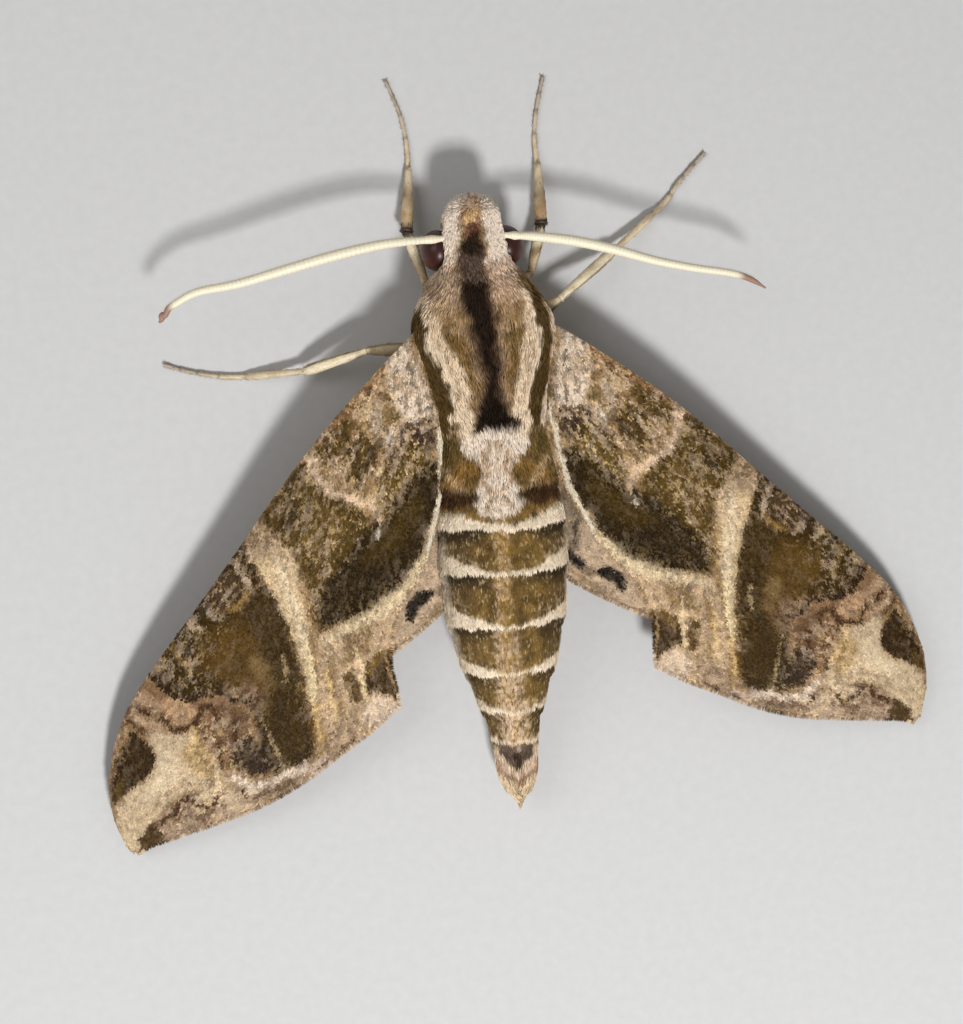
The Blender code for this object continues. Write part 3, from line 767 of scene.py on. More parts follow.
def fore_edges(out):
    """Give the front and back edges of the forewing's membrane, inside its fringe."""
    held = np.clip(out, 0, WING_LENGTH)
    trail = np.where(out <= TORNUS, read_curve(INNER_MARGIN, held), read_curve(OUTER_MARGIN, held))
    return read_curve(COSTA, held), trail - 0.45 * smooth((out - 24) / 4)


def hind_edges(out):
    """Give the front and back edges of the hindwing's membrane, inside its fringe."""
    return read_curve(HIND_COSTA, out), read_curve(HIND_MARGIN, out) - 0.4


def make_wing(name, wing, outs, columns, edges, veins, colour, base_lift, skin, finish):
    """Make a wing's thin membrane with its veins, and give its upper and lower surfaces."""
    lead, trail = edges(outs)
    share = np.linspace(0, 1, columns)
    back = lead[:, None] + (trail - lead)[:, None] * share
    out = np.repeat(outs[:, None], columns, 1)
    buried = depth_in_skin(wing_place(wing, out, back, base_lift), skin) > 0.5
    first = np.where(buried.any(1), buried.argmax(1), columns - 1)
    first = np.maximum(first, 2)
    limit = back[np.arange(len(outs)), first]
    limit = np.minimum(limit, np.convolve(np.pad(limit, 2, "edge"), np.ones(5) / 5, "valid"))
    back = lead[:, None] + (np.maximum(limit, lead + 0.1) - lead)[:, None] * share
    fold = 0.12 * np.sin(back * 1.1 + out * 0.12) * smooth(out / 12)
    middle = Surface(wing_place(wing, out, back, base_lift + 0.4 * fold), np.array([0, 0, 1.0]))
    edge = np.minimum(share, 1 - share) * (trail - lead)[:, None]
    half = MEMBRANE / 2 * (0.35 + 0.65 * smooth(edge / 0.5))
    half = half + 0.1 * np.exp(-(back - lead[:, None]) / 0.8)
    ridge = vein_height(out, back, veins)
    upper = middle.points + middle.normals * (half + 0.6 * ridge)[..., None]
    lower = middle.points - middle.normals * (half + 0.4 * ridge)[..., None]
    top = Surface(upper, np.array([0, 0, 1.0]))
    under = Surface(lower, np.array([0, 0, -1.0]))
    for surface, is_under in ((top, False), (under, True)):
        surface.out = out
        surface.back = back
        surface.paint = colour
        surface.colours = colour(out, back, is_under)
        surface.is_flesh = depth_in_skin(surface.points, skin) > 0.2
    rows = len(outs)
    count = rows * columns
    rim = np.concatenate([np.arange(columns), np.arange(1, rows) * columns + columns - 1,
                          np.arange(columns - 2, -1, -1) + (rows - 1) * columns,
                          np.arange(rows - 2, 0, -1) * columns])
    after = np.roll(rim, -1)
    walls = np.c_[rim, after, after + count, rim + count]
    is_left = wing == "left"
    faces = [grid_faces(rows, columns, 0, not is_left), grid_faces(rows, columns, count, is_left),
             walls if is_left else walls[:, ::-1]]
    make_piece(name, np.vstack([upper.reshape(-1, 3), lower.reshape(-1, 3)]), faces,
               np.vstack([top.colours.reshape(-1, 3), under.colours.reshape(-1, 3)]),
               finish, [name.replace("_membrane", "")])
    return top, under


# ---- markings of the wings: places are (distance out, distance back) ---------------------------

FORE_MARKS = [
    # the base, mottled pinkish tan
    ("front spots", "#4f3c18", 0.93, 0.6, [(9.4, -1.8), (12.0, -2.9), (14.6, -3.2), (15.4, -1.6),
        (14.4, -0.6), (11.6, -0.2), (9.8, -0.6)]),
    ("first front spot", "#745c36", 0.7, 0.8, [(5.2, -1.2), (8.2, -2.0), (8.4, -0.8), (5.8, -0.2)]),
    ("cell spot", "#4f3c16", 0.93, 0.6, [(10.4, 0.4), (13.6, -0.4), (15.9, 0.6), (15.6, 2.8), (13.4, 3.2),
        (11.2, 2.4)]),
    ("inner spot", "#75603a", 0.75, 1.0, [(6.2, 2.0), (8.6, 1.6), (9.2, 3.4), (7.0, 4.4)]),
    ("pale base", "#e8d5c0", 0.85, 0.9, [(-1, -0.8), (2.6, -0.8), (4.8, 0.6), (6.6, 2.8), (7.4, 4.8),
        (5.4, 6.4), (3.6, 4.6), (1.6, 2.4)]),
    ("base's brown", "#8a6f55", 0.6, 0.5, [(3.4, 0.4, 0.3), (4.6, 2.4, 0.45), (3.6, 3.4, 0.25),
        (6.0, 4.8, 0.3)]),
    ("base's white", "#d8c8b6", 0.85, 0.6, [(8.6, 3.0), (10.4, 2.8), (10.8, 4.2), (9.0, 4.6)]),
    ("base's pale streaks", "#ccb69f", 0.75, 0.4, [(7.0, 0.4, 0.3), (9.0, 1.4, 0.35), (10.4, 2.0, 0.2),
        (7.6, -0.6, 0.2)]),
    ("base's shade", "#45362c", 0.9, 0.9, [(5.6, 6.0), (7.6, 3.9), (10.4, 3.6), (13.4, 4.4), (12.6, 5.8),
        (9.6, 6.4), (8.0, 8.2), (6.2, 7.6)]),
    ("gold olive", "#544117", 0.93, 1.0, [(9.0, 5.2), (12.5, 4.0), (17.0, 5.6), (18.0, 8.6), (13.6, 10.2),
        (9.4, 8.4)]),
    ("red costa", "#7f5540", 0.6, 0.5, [(3, -0.5, 0.3), (8, -1.6, 0.25), (14, -3.3, 0.2)]),
    # the middle
    ("median patch", "#4d3a13", 0.96, 0.6, [(17.8, -4.0), (24.0, -5.1), (24.8, -2.4), (25.6, 0.2),
        (27.6, 2.6), (31.4, 5.4), (24.0, 6.2), (19.2, 5.8), (17.4, 3.4), (18.0, 0.4), (17.0, -1.8),
        (15.6, -3.4)]),
    ("median patch's light", "#6b542b", 0.5, 1.6, [(19.6, -0.4), (24.0, 0.0), (25.0, 2.8), (21.0, 4.2),
        (19.0, 2.6)]),
    ("median patch's costa", "#3f311d", 0.8, 0.5, [(16.6, -3.6, 0.4), (19.4, -4.0, 0.5), (20.8, -2.4, 0.5),
        (23.6, -1.8, 0.5)]),
    ("median patch's stripe", "#a58c74", 0.6, 0.4, [(16.2, -2.7, 0.2), (19.6, -2.9, 0.2),
        (22.4, -4.0, 0.2)]),
    ("lower field", "#271b04", 0.98, 0.7, [(9.4, 8.6), (12.6, 7.2), (17.6, 6.8), (19.6, 5.4), (24.0, 5.0),
        (27.6, 4.2), (31.6, 5.9), (29.0, 8.6), (26.4, 10.4), (23.0, 11.9), (18.6, 12.4), (13.4, 10.9),
        (10.6, 9.8)]),
    ("lower field's glow", "#49360c", 0.65, 1.8, [(12.6, 8.0), (18.0, 7.6), (23.0, 6.6), (21.0, 9.6),
        (14.6, 10.0)]),
    ("antemedial line", "#cdb194", 0.95, 0.4, [(15.0, -3.6, 0.5), (16.4, -2.4, 0.6), (17.5, -0.6, 0.5),
        (17.7, 1.4, 0.45), (17.1, 3.6, 0.45), (17.0, 5.2, 0.35), (18.6, 6.8, 0.12)]),
    ("white dot", "#d8cbb6", 0.85, 0.3, [(19.4, 7.0, 0.2), (19.8, 7.1, 0.2)]),
    # behind the lower field
    ("inner tan", "#bda180", 0.95, 0.7, [(18, 12.8), (23, 12.2), (26.6, 10.7), (29.2, 8.8), (32, 6.2),
        (36, 8.2), (41, 12), (42, 15.6), (36, 18), (31, 15.4), (24, 14.2)]),
    ("inner tan's brown", "#7d6038", 0.75, 0.5, [(33.6, 8.4, 0.35), (35.4, 9.6, 0.5), (37.6, 11.8, 0.45),
        (39.0, 13.2, 0.3)]),
    ("inner tan's gold", "#c9aa74", 0.8, 0.35, [(35.2, 8.8, 0.2), (37.4, 10.6, 0.25), (39.6, 12.6, 0.25)]),
    ("inner tan's light", "#e2cca6", 0.9, 0.9, [(19.0, 12.7, 0.35), (23.4, 12.3, 0.6), (27.0, 10.8, 0.7),
        (29.6, 8.9, 0.5), (32.6, 7.0, 0.3)]),
    ("inner tan's olive", "#745a33", 0.75, 1.0, [(28.0, 10.8), (31.0, 9.0), (34.2, 9.8), (31.4, 12.0)]),
    ("tornal dark", "#3a280f", 0.99, 0.3, [(28.6, 14.4), (30.0, 13.6), (31.6, 12.5), (32.8, 11.9),
        (34.2, 12.9), (35.3, 14.0), (34.8, 15.2), (34.6, 16.8), (35.1, 18.4), (33.2, 17.2)]),
    ("tornal dark's gold", "#765a2c", 0.7, 0.6, [(30.0, 13.9, 0.25), (31.8, 13.0, 0.4), (33.0, 12.9, 0.5)]),
    ("tornal vein", "#ab8d60", 0.85, 0.15, [(30.9, 13.9, 0.08), (32.6, 15.4, 0.14), (34.3, 17.0, 0.1)]),
    ("tornal second dark", "#57401d", 0.95, 0.3, [(33.4, 11.2), (34.8, 10.8), (37.0, 13.1), (36.4, 13.9),
        (34.8, 12.8)]),
    ("tornal line", "#dcc298", 0.95, 0.18, [(31.2, 10.2, 0.12), (32.9, 11.8, 0.2), (34.6, 13.1, 0.25),
        (36.1, 14.3, 0.2)]),
    ("tornal tip", "#d2baa0", 0.98, 0.35, [(35.2, 18.4), (34.9, 17.0), (35.0, 15.3), (35.9, 14.4),
        (37.4, 14.6), (38.8, 16.0), (37.4, 17.6)]),
    ("tornal edge", "#a1876d", 0.75, 0.6, [(38.4, 12.6), (43.4, 12.2), (45.0, 13.8), (40.2, 16.2),
        (38.8, 14.6)]),
    # the dark field beyond the pale band
    ("outer field", "#332409", 0.97, 0.6, [(26.4, -5.9), (36.8, -7.2), (43.6, -7.9), (44.6, -5.8),
        (44.2, -3.0), (42.6, -1.4), (41.4, 0.6), (42.6, 4.0), (44.8, 5.6), (47.6, 8.2), (48.2, 10.2),
        (46.8, 11.2), (44.2, 12.0), (40.4, 10.0), (36.0, 6.6), (31.6, 2.6), (29.4, -1.4), (28.0, -3.6)]),
    ("outer field's deep", "#3c2b0d", 0.85, 1.5, [(30.2, -1.8), (32.0, -1.6), (34.4, 1.4), (38.0, 4.8),
        (42.6, 8.4), (43.4, 10.8), (40.0, 9.0), (36.4, 6.0), (32.8, 2.8)]),
    ("outer field's glow", "#6b4d1d", 0.6, 0.9, [(32.6, 3.0, 0.2), (36.6, 6.8, 0.3), (41.0, 10.2, 0.3),
        (43.2, 11.8, 0.2)]),
    ("outer field's olive", "#573f18", 0.75, 1.6, [(34.4, -2.0), (36.6, -4.6), (40.8, -4.2), (41.4, 0.6),
        (42.6, 5.6), (38.6, 4.6), (35.4, 0.8)]),
    ("outer field's purple", "#5b4236", 0.7, 0.7, [(39.6, 1.8), (42.4, 1.4), (42.8, 3.8), (40.6, 4.2)]),
    ("outer field's flecks", "#8a7048", 0.6, 0.7, [(36.6, 1.4), (38.4, 1.0), (39.0, 3.0), (37.4, 3.4)]),
    ("vein scratch", "#b39a70", 0.75, 0.25, [(35.8, 4.0, 0.12), (37.0, 5.0, 0.2), (38.0, 5.6, 0.15)]),
    ("front oval", "#4a3826", 0.95, 0.4, [(29.8, -5.4), (31.4, -6.3), (34.4, -6.2), (34.8, -4.6),
        (33.4, -3.5), (31.4, -3.1), (30.2, -4.2)]),
    ("front oval's rim", "#b59e84", 0.97, 0.22, [(29.3, -6.0, 0.25), (29.0, -5.1, 0.4), (29.7, -4.4, 0.35),
        (30.2, -3.5, 0.4), (30.8, -2.8, 0.3)]),
    ("front oval's far rim", "#a8927a", 0.9, 0.3, [(34.8, -4.0, 0.25), (35.2, -4.9, 0.35),
        (34.5, -6.0, 0.35)]),
    ("front oval's gold", "#8e7040", 0.9, 0.35, [(31.0, -2.7, 0.2), (32.0, -2.5, 0.3), (33.3, -3.0, 0.3),
        (34.2, -3.6, 0.2)]),
    ("front oval's streak", "#93806a", 0.6, 0.2, [(31.4, -4.4, 0.1), (32.6, -4.7, 0.15)]),
    ("costal olive", "#6e5833", 0.7, 0.5, [(37.4, -5.6, 0.3), (38.4, -4.6, 0.35), (39.0, -3.4, 0.25)]),
    ("second costal olive", "#7a6138", 0.7, 0.5, [(40.4, -6.6, 0.4), (41.2, -5.2, 0.4), (41.6, -4.2, 0.3)]),
    # the pale oblique band
    ("pale band", "#c9b08a", 0.98, 0.45, [(24.2, -5.2), (26.4, -5.7), (28.0, -3.4), (29.2, -1.4),
        (30.4, 0.2), (32.4, 2.8), (35.0, 5.4), (38.6, 8.6), (36.8, 7.8), (33.4, 5.9), (31.0, 4.4),
        (28.4, 2.2), (26.0, 0.2), (24.8, -2.2)]),
    ("pale band's front", "#937a60", 0.85, 0.9, [(23.6, -5.2), (26.6, -5.8), (27.8, -3.8), (26.4, -2.0),
        (24.6, -2.2)]),
    ("pale band's light", "#dcc8a8", 0.85, 0.6, [(27.0, -1.4, 0.4), (29.6, 1.6, 0.6), (32.6, 4.6, 0.5),
        (34.6, 6.2, 0.3)]),
    ("cream line", "#ecd6aa", 1.0, 0.15, [(32.6, 5.0, 0.3), (36.0, 7.4, 0.32), (38.8, 9.3, 0.3)]),
    ("cream line's end", "#c9a970", 0.85, 0.25, [(38.6, 9.2, 0.26), (41.2, 11.1, 0.24), (43.0, 12.6, 0.2),
        (44.2, 13.8, 0.1)]),
    # the outer zone, brown with scalloped dark lines
    ("outer zone", "#7d6046", 0.96, 0.7, [(44.6, -7.9), (50.2, -8.3), (49.8, -5.2), (48.8, -3.0),
        (47.2, -1.2), (48.8, 1.0), (49.6, 4.4), (46.4, 4.4), (44.4, 5.2), (42.8, 3.6), (41.8, 0.8),
        (43.0, -0.8), (44.6, -2.6), (45.0, -5.4)]),
    ("outer zone's oval", "#b08e6c", 0.9, 0.4, [(45.2, -5.0), (46.6, -5.4), (47.3, -3.8), (47.0, -1.9),
        (45.2, -1.6), (44.7, -3.2)]),
    ("outer zone's front", "#a3866a", 0.9, 0.4, [(45.6, -7.6), (47.2, -7.9), (47.0, -5.2), (46.0, -5.0)]),
    ("outer zone's second front", "#b39678", 0.9, 0.35, [(48.5, -7.6, 0.3), (49.0, -6.2, 0.35),
        (48.8, -4.4, 0.4)]),
    ("outer zone's tan", "#a3835f", 0.8, 0.5, [(47.6, -4.2), (48.9, -3.4), (48.4, -1.4), (47.0, -0.6)]),
    ("outer zone's rust", "#5f452f", 0.85, 0.8, [(42.4, 0.6), (46.2, 0.0), (48.2, 2.4), (47.6, 4.4),
        (45.2, 5.0), (43.2, 3.4)]),
    ("grey blotch", "#2c2017", 0.97, 0.6, [(45.1, 5.0), (46.8, 3.8), (48.8, 4.2), (49.2, 6.8), (48.3, 8.6),
        (46.6, 8.8), (45.3, 7.3)]),
    ("first wave", "#2e1e10", 0.97, 0.14, [(43.9, -7.6, 0.35), (44.4, -6.0, 0.4), (44.7, -4.2, 0.35),
        (44.2, -2.6, 0.4), (42.8, -1.2, 0.45), (41.9, 0.2, 0.4), (42.3, 1.6, 0.35), (41.4, 3.0, 0.35)]),
    ("second wave", "#412a17", 0.95, 0.2, [(47.5, -7.9, 0.3), (48.0, -6.2, 0.3), (47.6, -4.4, 0.25),
        (48.1, -2.6, 0.3), (46.8, -1.0, 0.35), (44.6, -1.2, 0.3), (44.2, 0.2, 0.35), (45.4, 1.2, 0.35),
        (44.8, 2.6, 0.35), (46.2, 3.6, 0.35)]),
    ("third wave", "#4a321e", 0.95, 0.2, [(49.4, -7.8, 0.25), (50.0, -6.2, 0.3), (49.8, -4.4, 0.3),
        (48.9, -2.9, 0.25)]),
    ("fourth wave", "#4a331e", 0.92, 0.25, [(46.4, 0.0, 0.3), (47.6, 0.8, 0.35), (47.2, 2.2, 0.3),
        (48.6, 3.0, 0.35), (49.6, 4.2, 0.25)]),
    ("grey patches", "#806c58", 0.9, 0.5, [(46.6, 9.8), (48.4, 9.2), (49.4, 7.2), (51.0, 7.0), (51.4, 9.4),
        (47.2, 12.4), (46.0, 11.2)]),
    ("grey streak", "#b09a88", 0.9, 0.4, [(45.2, 11.6, 0.4), (46.4, 11.2, 0.5), (47.6, 11.0, 0.3)]),
    ("hind pink", "#c7ae9a", 0.9, 0.4, [(43.2, 13.2), (44.6, 12.4), (46.2, 12.2), (45.6, 13.4),
        (43.8, 14.2)]),
    ("margin flecks", "#45301f", 0.8, 0.35, [(40.6, 15.2, 0.25), (43.4, 13.9, 0.3), (45.2, 13.2, 0.2)]),
    ("vein hair", "#b59d74", 0.7, 0.2, [(42.8, 5.0, 0.07), (45.0, 7.8, 0.1), (47.6, 10.6, 0.07)]),
    # the tip
    ("yellow tan", "#bfa98a", 0.97, 0.6, [(49.8, -5.4), (51.2, -3.6), (53.2, -2.6), (55.0, -3.0),
        (57.6, -4.4), (59.8, -4.2), (61.8, -2.2), (62.8, 0), (58.6, 0.0), (55.6, 0.6), (53.6, 1.8),
        (51.4, 4.2), (49.8, 4.0), (48.8, 1.0), (47.8, -0.8), (48.8, -3.0)]),
    ("yellow tan's light", "#d8c3a2", 0.85, 0.6, [(50.6, -3.4), (53.4, -2.0), (56.6, -2.4), (55.4, -0.4),
        (52.6, 0.2), (50.8, -1.4)]),
    ("yellow tan's waves", "#a3886a", 0.7, 0.3, [(59.0, -1.6, 0.2), (56.8, -0.4, 0.25), (55.2, -0.8, 0.2),
        (53.6, 0.6, 0.25), (52.4, 2.4, 0.2)]),
    ("gold", "#97794a", 0.75, 0.8, [(47.6, -0.6), (50.4, -0.8), (51.6, 1.4), (51.2, 3.2), (49.2, 2.6),
        (48.4, 1.0)]),
    ("gold's light", "#c9ae7e", 0.6, 0.4, [(47.2, -0.9, 0.2), (49.4, -0.1, 0.25), (50.6, 1.8, 0.2)]),
    ("gold's brown", "#7d6037", 0.7, 0.4, [(49.2, 0.6, 0.2), (49.8, 2.0, 0.3), (51.2, 3.6, 0.2)]),
    ("outer tan", "#98806a", 0.95, 0.5, [(49.6, 4.4), (51.6, 4.0), (53.6, 2.4), (56.0, 0.8), (58.8, 0.2),
        (60.8, 1.8), (56, 6.6), (51.6, 10.2), (49.4, 8.6), (49.2, 6.4)]),
    ("outer tan's light", "#d3bb99", 0.9, 0.4, [(50.4, 4.8), (52.6, 3.4), (54.0, 3.0), (53.4, 4.4),
        (51.0, 4.9)]),
    ("outer tan's spots", "#c9b08f", 0.85, 0.35, [(56.0, 2.6, 0.35), (55.0, 3.9, 0.45), (52.6, 5.8, 0.5),
        (51.9, 7.0, 0.5), (50.2, 8.2, 0.4)]),
    ("edge's cream", "#bfa88c", 0.8, 0.5, [(51.8, 5.8), (53.4, 5.4), (53.8, 6.8), (52.0, 8.2),
        (51.4, 7.2)]),
    ("costal line", "#655040", 0.8, 0.35, [(44.6, -7.9, 0.15), (49.6, -7.9, 0.25), (53.4, -7.1, 0.25),
        (57.4, -5.6, 0.25), (60.2, -3.6, 0.12)]),
    ("tip dark", "#2f200d", 0.99, 0.25, [(50.5, -6.8), (54.3, -6.7), (56.6, -5.7), (58.6, -4.9),
        (57.2, -4.1), (55.2, -3.2), (53.0, -2.7), (51.4, -3.4), (50.6, -4.8)]),
    ("tip dark's gold", "#6b5528", 0.6, 0.7, [(56.2, -5.0, 0.3), (57.8, -4.6, 0.3)]),
    ("outer arcs", "#452d19", 0.97, 0.12, [(60.4, 0.3, 0.3), (58.8, 0.5, 0.35), (57.4, 1.1, 0.25),
        (56.6, 1.7, 0.35), (55.0, 1.3, 0.22), (54.2, 2.2, 0.35), (54.7, 3.4, 0.22), (54.3, 4.8, 0.35),
        (52.8, 4.9, 0.2), (51.4, 5.1, 0.25), (51.0, 6.1, 0.3), (51.3, 7.5, 0.2)]),
    ("margin's pale scallops", "#dcc8b2", 0.9, 0.3, [(50.0, 5.6, 0.35), (50.4, 7.6, 0.4), (49.0, 9.4, 0.4),
        (47.2, 10.6, 0.45), (45.6, 12.0, 0.35)]),
    ("scallops' line", "#6a5140", 0.85, 0.2, [(51.2, 8.6, 0.15), (50.0, 9.2, 0.25), (49.6, 10.2, 0.15),
        (48.2, 10.6, 0.25), (47.8, 11.6, 0.15)]),
    ("outer arcs' shade", "#6e5643", 0.8, 0.5, [(57.6, 2.0, 0.5), (55.8, 3.0, 0.5), (55.6, 4.8, 0.4),
        (53.4, 6.0, 0.3)]),
    ("tip's mark", "#433019", 0.97, 0.25, [(58.2, 0.2), (59.2, -0.5), (60.6, -0.4), (62.8, 0.2),
        (60.8, 1.9), (59.4, 1.7)]),
    ("tip cream", "#c7b08d", 0.9, 0.4, [(58.8, -4.2, 0.3), (60.6, -2.9, 0.45), (62.2, -1.0, 0.35)]),
    # along the front and hind edges
    ("front dark flecks", "#40301f", 0.8, 0.35, [(26.8, -5.4, 0.3), (28.4, -4.9, 0.35), (28.8, -3.9, 0.2)]),
    ("more dark flecks", "#3d3024", 0.85, 0.35, [(33.6, -6.2, 0.2), (34.8, -5.9, 0.35), (36.0, -6.2, 0.2)]),
    ("pale flecks", "#9c8a75", 0.8, 0.3, [(36.2, -6.8, 0.2), (37.4, -6.3, 0.3), (37.0, -5.4, 0.2)]),
    ("grey flecks", "#54493d", 0.8, 0.4, [(38.6, -6.8, 0.2), (39.4, -6.2, 0.35), (39.8, -5.2, 0.25)]),
    ("hair line", "#e3d6be", 0.97, 0.3, [(5.6, 7.2, 0.15), (8.4, 8.8, 0.22), (11.0, 10.2, 0.28),
        (13.6, 11.2, 0.3), (16.4, 12.0, 0.2), (19, 12.9, 0.12)]),
]
HIND_MARKS = [
    ("dark base", "#3d2c1c", 0.95, 2.5, [(4, 0), (26, -2.6), (40, 1), (38, 8), (28, 12), (18, 12),
        (4, 10)]),
    ("outer dark", "#5a4631", 0.8, 1.5, [(28, 2), (44, 5), (38, 10.4), (30, 13.4), (27, 11)]),
    ("tan edge", "#b59d83", 0.95, 1.2, [(14, 12.6), (22, 12.2), (30, 12.0), (31.5, 15.6), (24, 18.6),
        (12, 19.6)]),
    ("grey root", "#6c604f", 0.8, 1.0, [(12, 12), (17.4, 12.4), (18.2, 19.4), (12, 19.6)]),
    ("root's dark", "#2a2018", 0.8, 0.6, [(16.6, 13.6, 0.4), (18.2, 14.6, 0.5), (18.6, 16.0, 0.3)]),
    ("mark's brown", "#4e3a27", 0.85, 0.5, [(20.6, 16.4, 0.5), (21.8, 16.2, 0.6), (22.4, 15.9, 0.4)]),
    ("black mark", "#17100b", 1.0, 0.25, [(18.8, 16.5, 0.6), (19.9, 16.2, 0.6), (20.8, 16.2, 0.5)]),
    ("second black mark", "#17100b", 1.0, 0.25, [(22.9, 15.2, 0.55), (23.8, 14.6, 0.8), (24.8, 14.3, 0.75),
        (25.9, 14.5, 0.55)]),
    ("third mark", "#6d543c", 0.6, 0.6, [(27.4, 13.6, 0.3), (29.0, 13.4, 0.35)]),
    ("edge line", "#7d6648", 0.8, 0.4, [(18, 17.8, 0.3), (24, 16.8, 0.3), (30, 14.8, 0.3)]),
]


def ragged(out, back, size, amount, seed):
    """Shift places a little, so that marks end raggedly where scales of two colours mix."""
    place = np.stack([out, back], axis=-1)
    shift_out = dapple(place, size, seed) + 0.7 * dapple(place, size * 0.2, seed + 1) - 0.85
    shift_back = dapple(place, size, seed + 2) + 0.7 * dapple(place, size * 0.2, seed + 3) - 0.85
    return out + amount * shift_out, back + amount * shift_back


def mottle(colours, out, back, wild, seed):
    """Mix pale, golden and dark scales into the ground in small curly flecks and short streaks,
    more where it is wild."""
    place = np.stack([out, back], axis=-1)
    place = place + 0.7 * np.stack([dapple(place, 0.7, seed + k) for k in (5, 6)], axis=-1)
    fine = dapple(place, 0.24, seed + 1)
    streak = dapple(place * (0.45, 1.5), 0.42, seed + 7)
    where = dapple(place, 2.2, seed)
    streaks = smooth((0.75 * streak + 0.25 * where - 0.56) * 6)
    flecks = smooth((0.8 * fine + 0.2 * where - 0.60) * 6)
    dark = smooth((0.36 - 0.7 * dapple(place, 0.38, seed + 2) - 0.3 * where + 0.10) * 6)
    colours = lay(colours, "#cfb59b", 0.6 * wild * streaks)
    colours = lay(colours, "#dabb88", 0.6 * wild * flecks)
    colours = lay(colours, "#34230f", 0.7 * wild * dark)
    shade = smooth((0.42 - dapple(place, 0.27, seed + 9)) * 7)
    shade = shade - smooth((dapple(place, 0.25, seed + 10) - 0.58) * 7)
    tone = 1 - (0.17 + 0.24 * wild) * shade + 0.3 * (dapple(place, 2.6, seed + 3) - 0.5)
    return colours * tone[..., None]


# Where the scales mix most, and where one colour keeps to itself.
FORE_WILD = [(0, -2), (16, -4), (18, 6), (10, 7.5), (0, 7)]
FORE_CALM = [
    [(10, 9.2), (13, 7.6), (17.4, 7.2), (20, 6.2), (24, 5.4), (28, 4.8), (30.6, 6), (26, 10),
     (20, 12), (13, 11)],
    [(43.6, -7.6), (45.0, -5.0), (44.6, -2.4), (42.6, 0.2), (42.2, 3.0), (43.6, 3.0), (45.6, -2.0),
     (47.0, -7.6)],
    [(28.6, -3.4), (31, -2.4), (37, -3.4), (41, -2), (41, 3), (46, 9), (45, 11), (37, 7), (31, 2)],
    [(48.5, -3.4), (56, -3.4), (62, -2.4), (61, -0.4), (55, 0.2), (50, 1.0)],
    [(50, -7), (57, -6), (60, -4.6), (53.4, -2.2), (50, -3)],
    [(41, 5.6), (44.6, 5.6), (47, 9), (45, 12), (41, 10)],
    [(46, 5), (48.2, 5), (48.2, 7.4), (46.4, 7.6)],
    [(30.4, 13.2), (31.8, 11.8), (34.8, 14), (34.6, 17.6), (32.4, 16.4)],
    [(57.6, 0.4), (59.6, -1), (63, 0), (60, 2.4)],
    [(35, 17.6), (35.2, 15.2), (37.4, 14.8), (37.6, 16.8)],
]


FORE_UNDER_TIP = [(46, -9), (64, -9), (64, 3), (44, 15), (40, 8)]
FORE_UNDER_LINE = [(40, -7, 0.4), (41, 2, 0.5), (38, 12, 0.4)]
HIND_CALM = [(18, 16.5, 0.5), (24, 14.4, 0.9), (26.4, 14.5, 0.5)]


def forewing_colours(out, back, is_under):
    """Give the colours of the forewing, above or beneath."""
    x, y = ragged(out, back, 1.3, 0.45, 21)
    colours = np.zeros(out.shape + (3,))
    if is_under:
        colours = colours + linear("#a27b4f")
        colours = lay(colours, "#5f4a34", 0.8 * cover(x, y, FORE_UNDER_TIP, 2.5))
        colours = lay(colours, "#6b5235", 0.7 * cover(x, y, FORE_UNDER_LINE, 1.0))
        return mottle(colours, out, back, 0.3, 31)
    colours = paint_marks(colours + linear("#8f7350"), x, y, FORE_MARKS)
    wild = 0.55 + 0.35 * cover(x, y, FORE_WILD, 3.0)
    for calm in FORE_CALM:
        wild = wild * (1 - 0.85 * cover(x, y, calm, 1.5))
    return mottle(colours, out, back, wild, 25)


def hindwing_colours(out, back, is_under):
    """Give the colours of the hindwing, above or beneath."""
    x, y = ragged(out, back, 2.0, 0.4, 51)
    if is_under:
        colours = np.zeros(out.shape + (3,)) + linear("#a88357")
        return mottle(colours, out, back, 0.3, 61)
    colours = np.zeros(out.shape + (3,)) + linear("#8b7257")
    wild = 0.4 * (1 - 0.9 * cover(x, y, HIND_CALM, 0.8))
    return mottle(paint_marks(colours, x, y, HIND_MARKS), out, back, wild, 55)


# ---- coats -----------------------------------------------------------------------------------

def turn_heading(along, across, normal, turn):
    """Turn the lie of each tuft from along the surface towards across it, flat on the surface."""
    heading = unit(along * np.cos(turn)[:, None] + across * np.sin(turn)[:, None])
    return unit(heading - normal * np.sum(heading * normal, 1, keepdims=True))


SCALE_BEND = 0.3             # how far the wing's scales turn from its length towards its edge


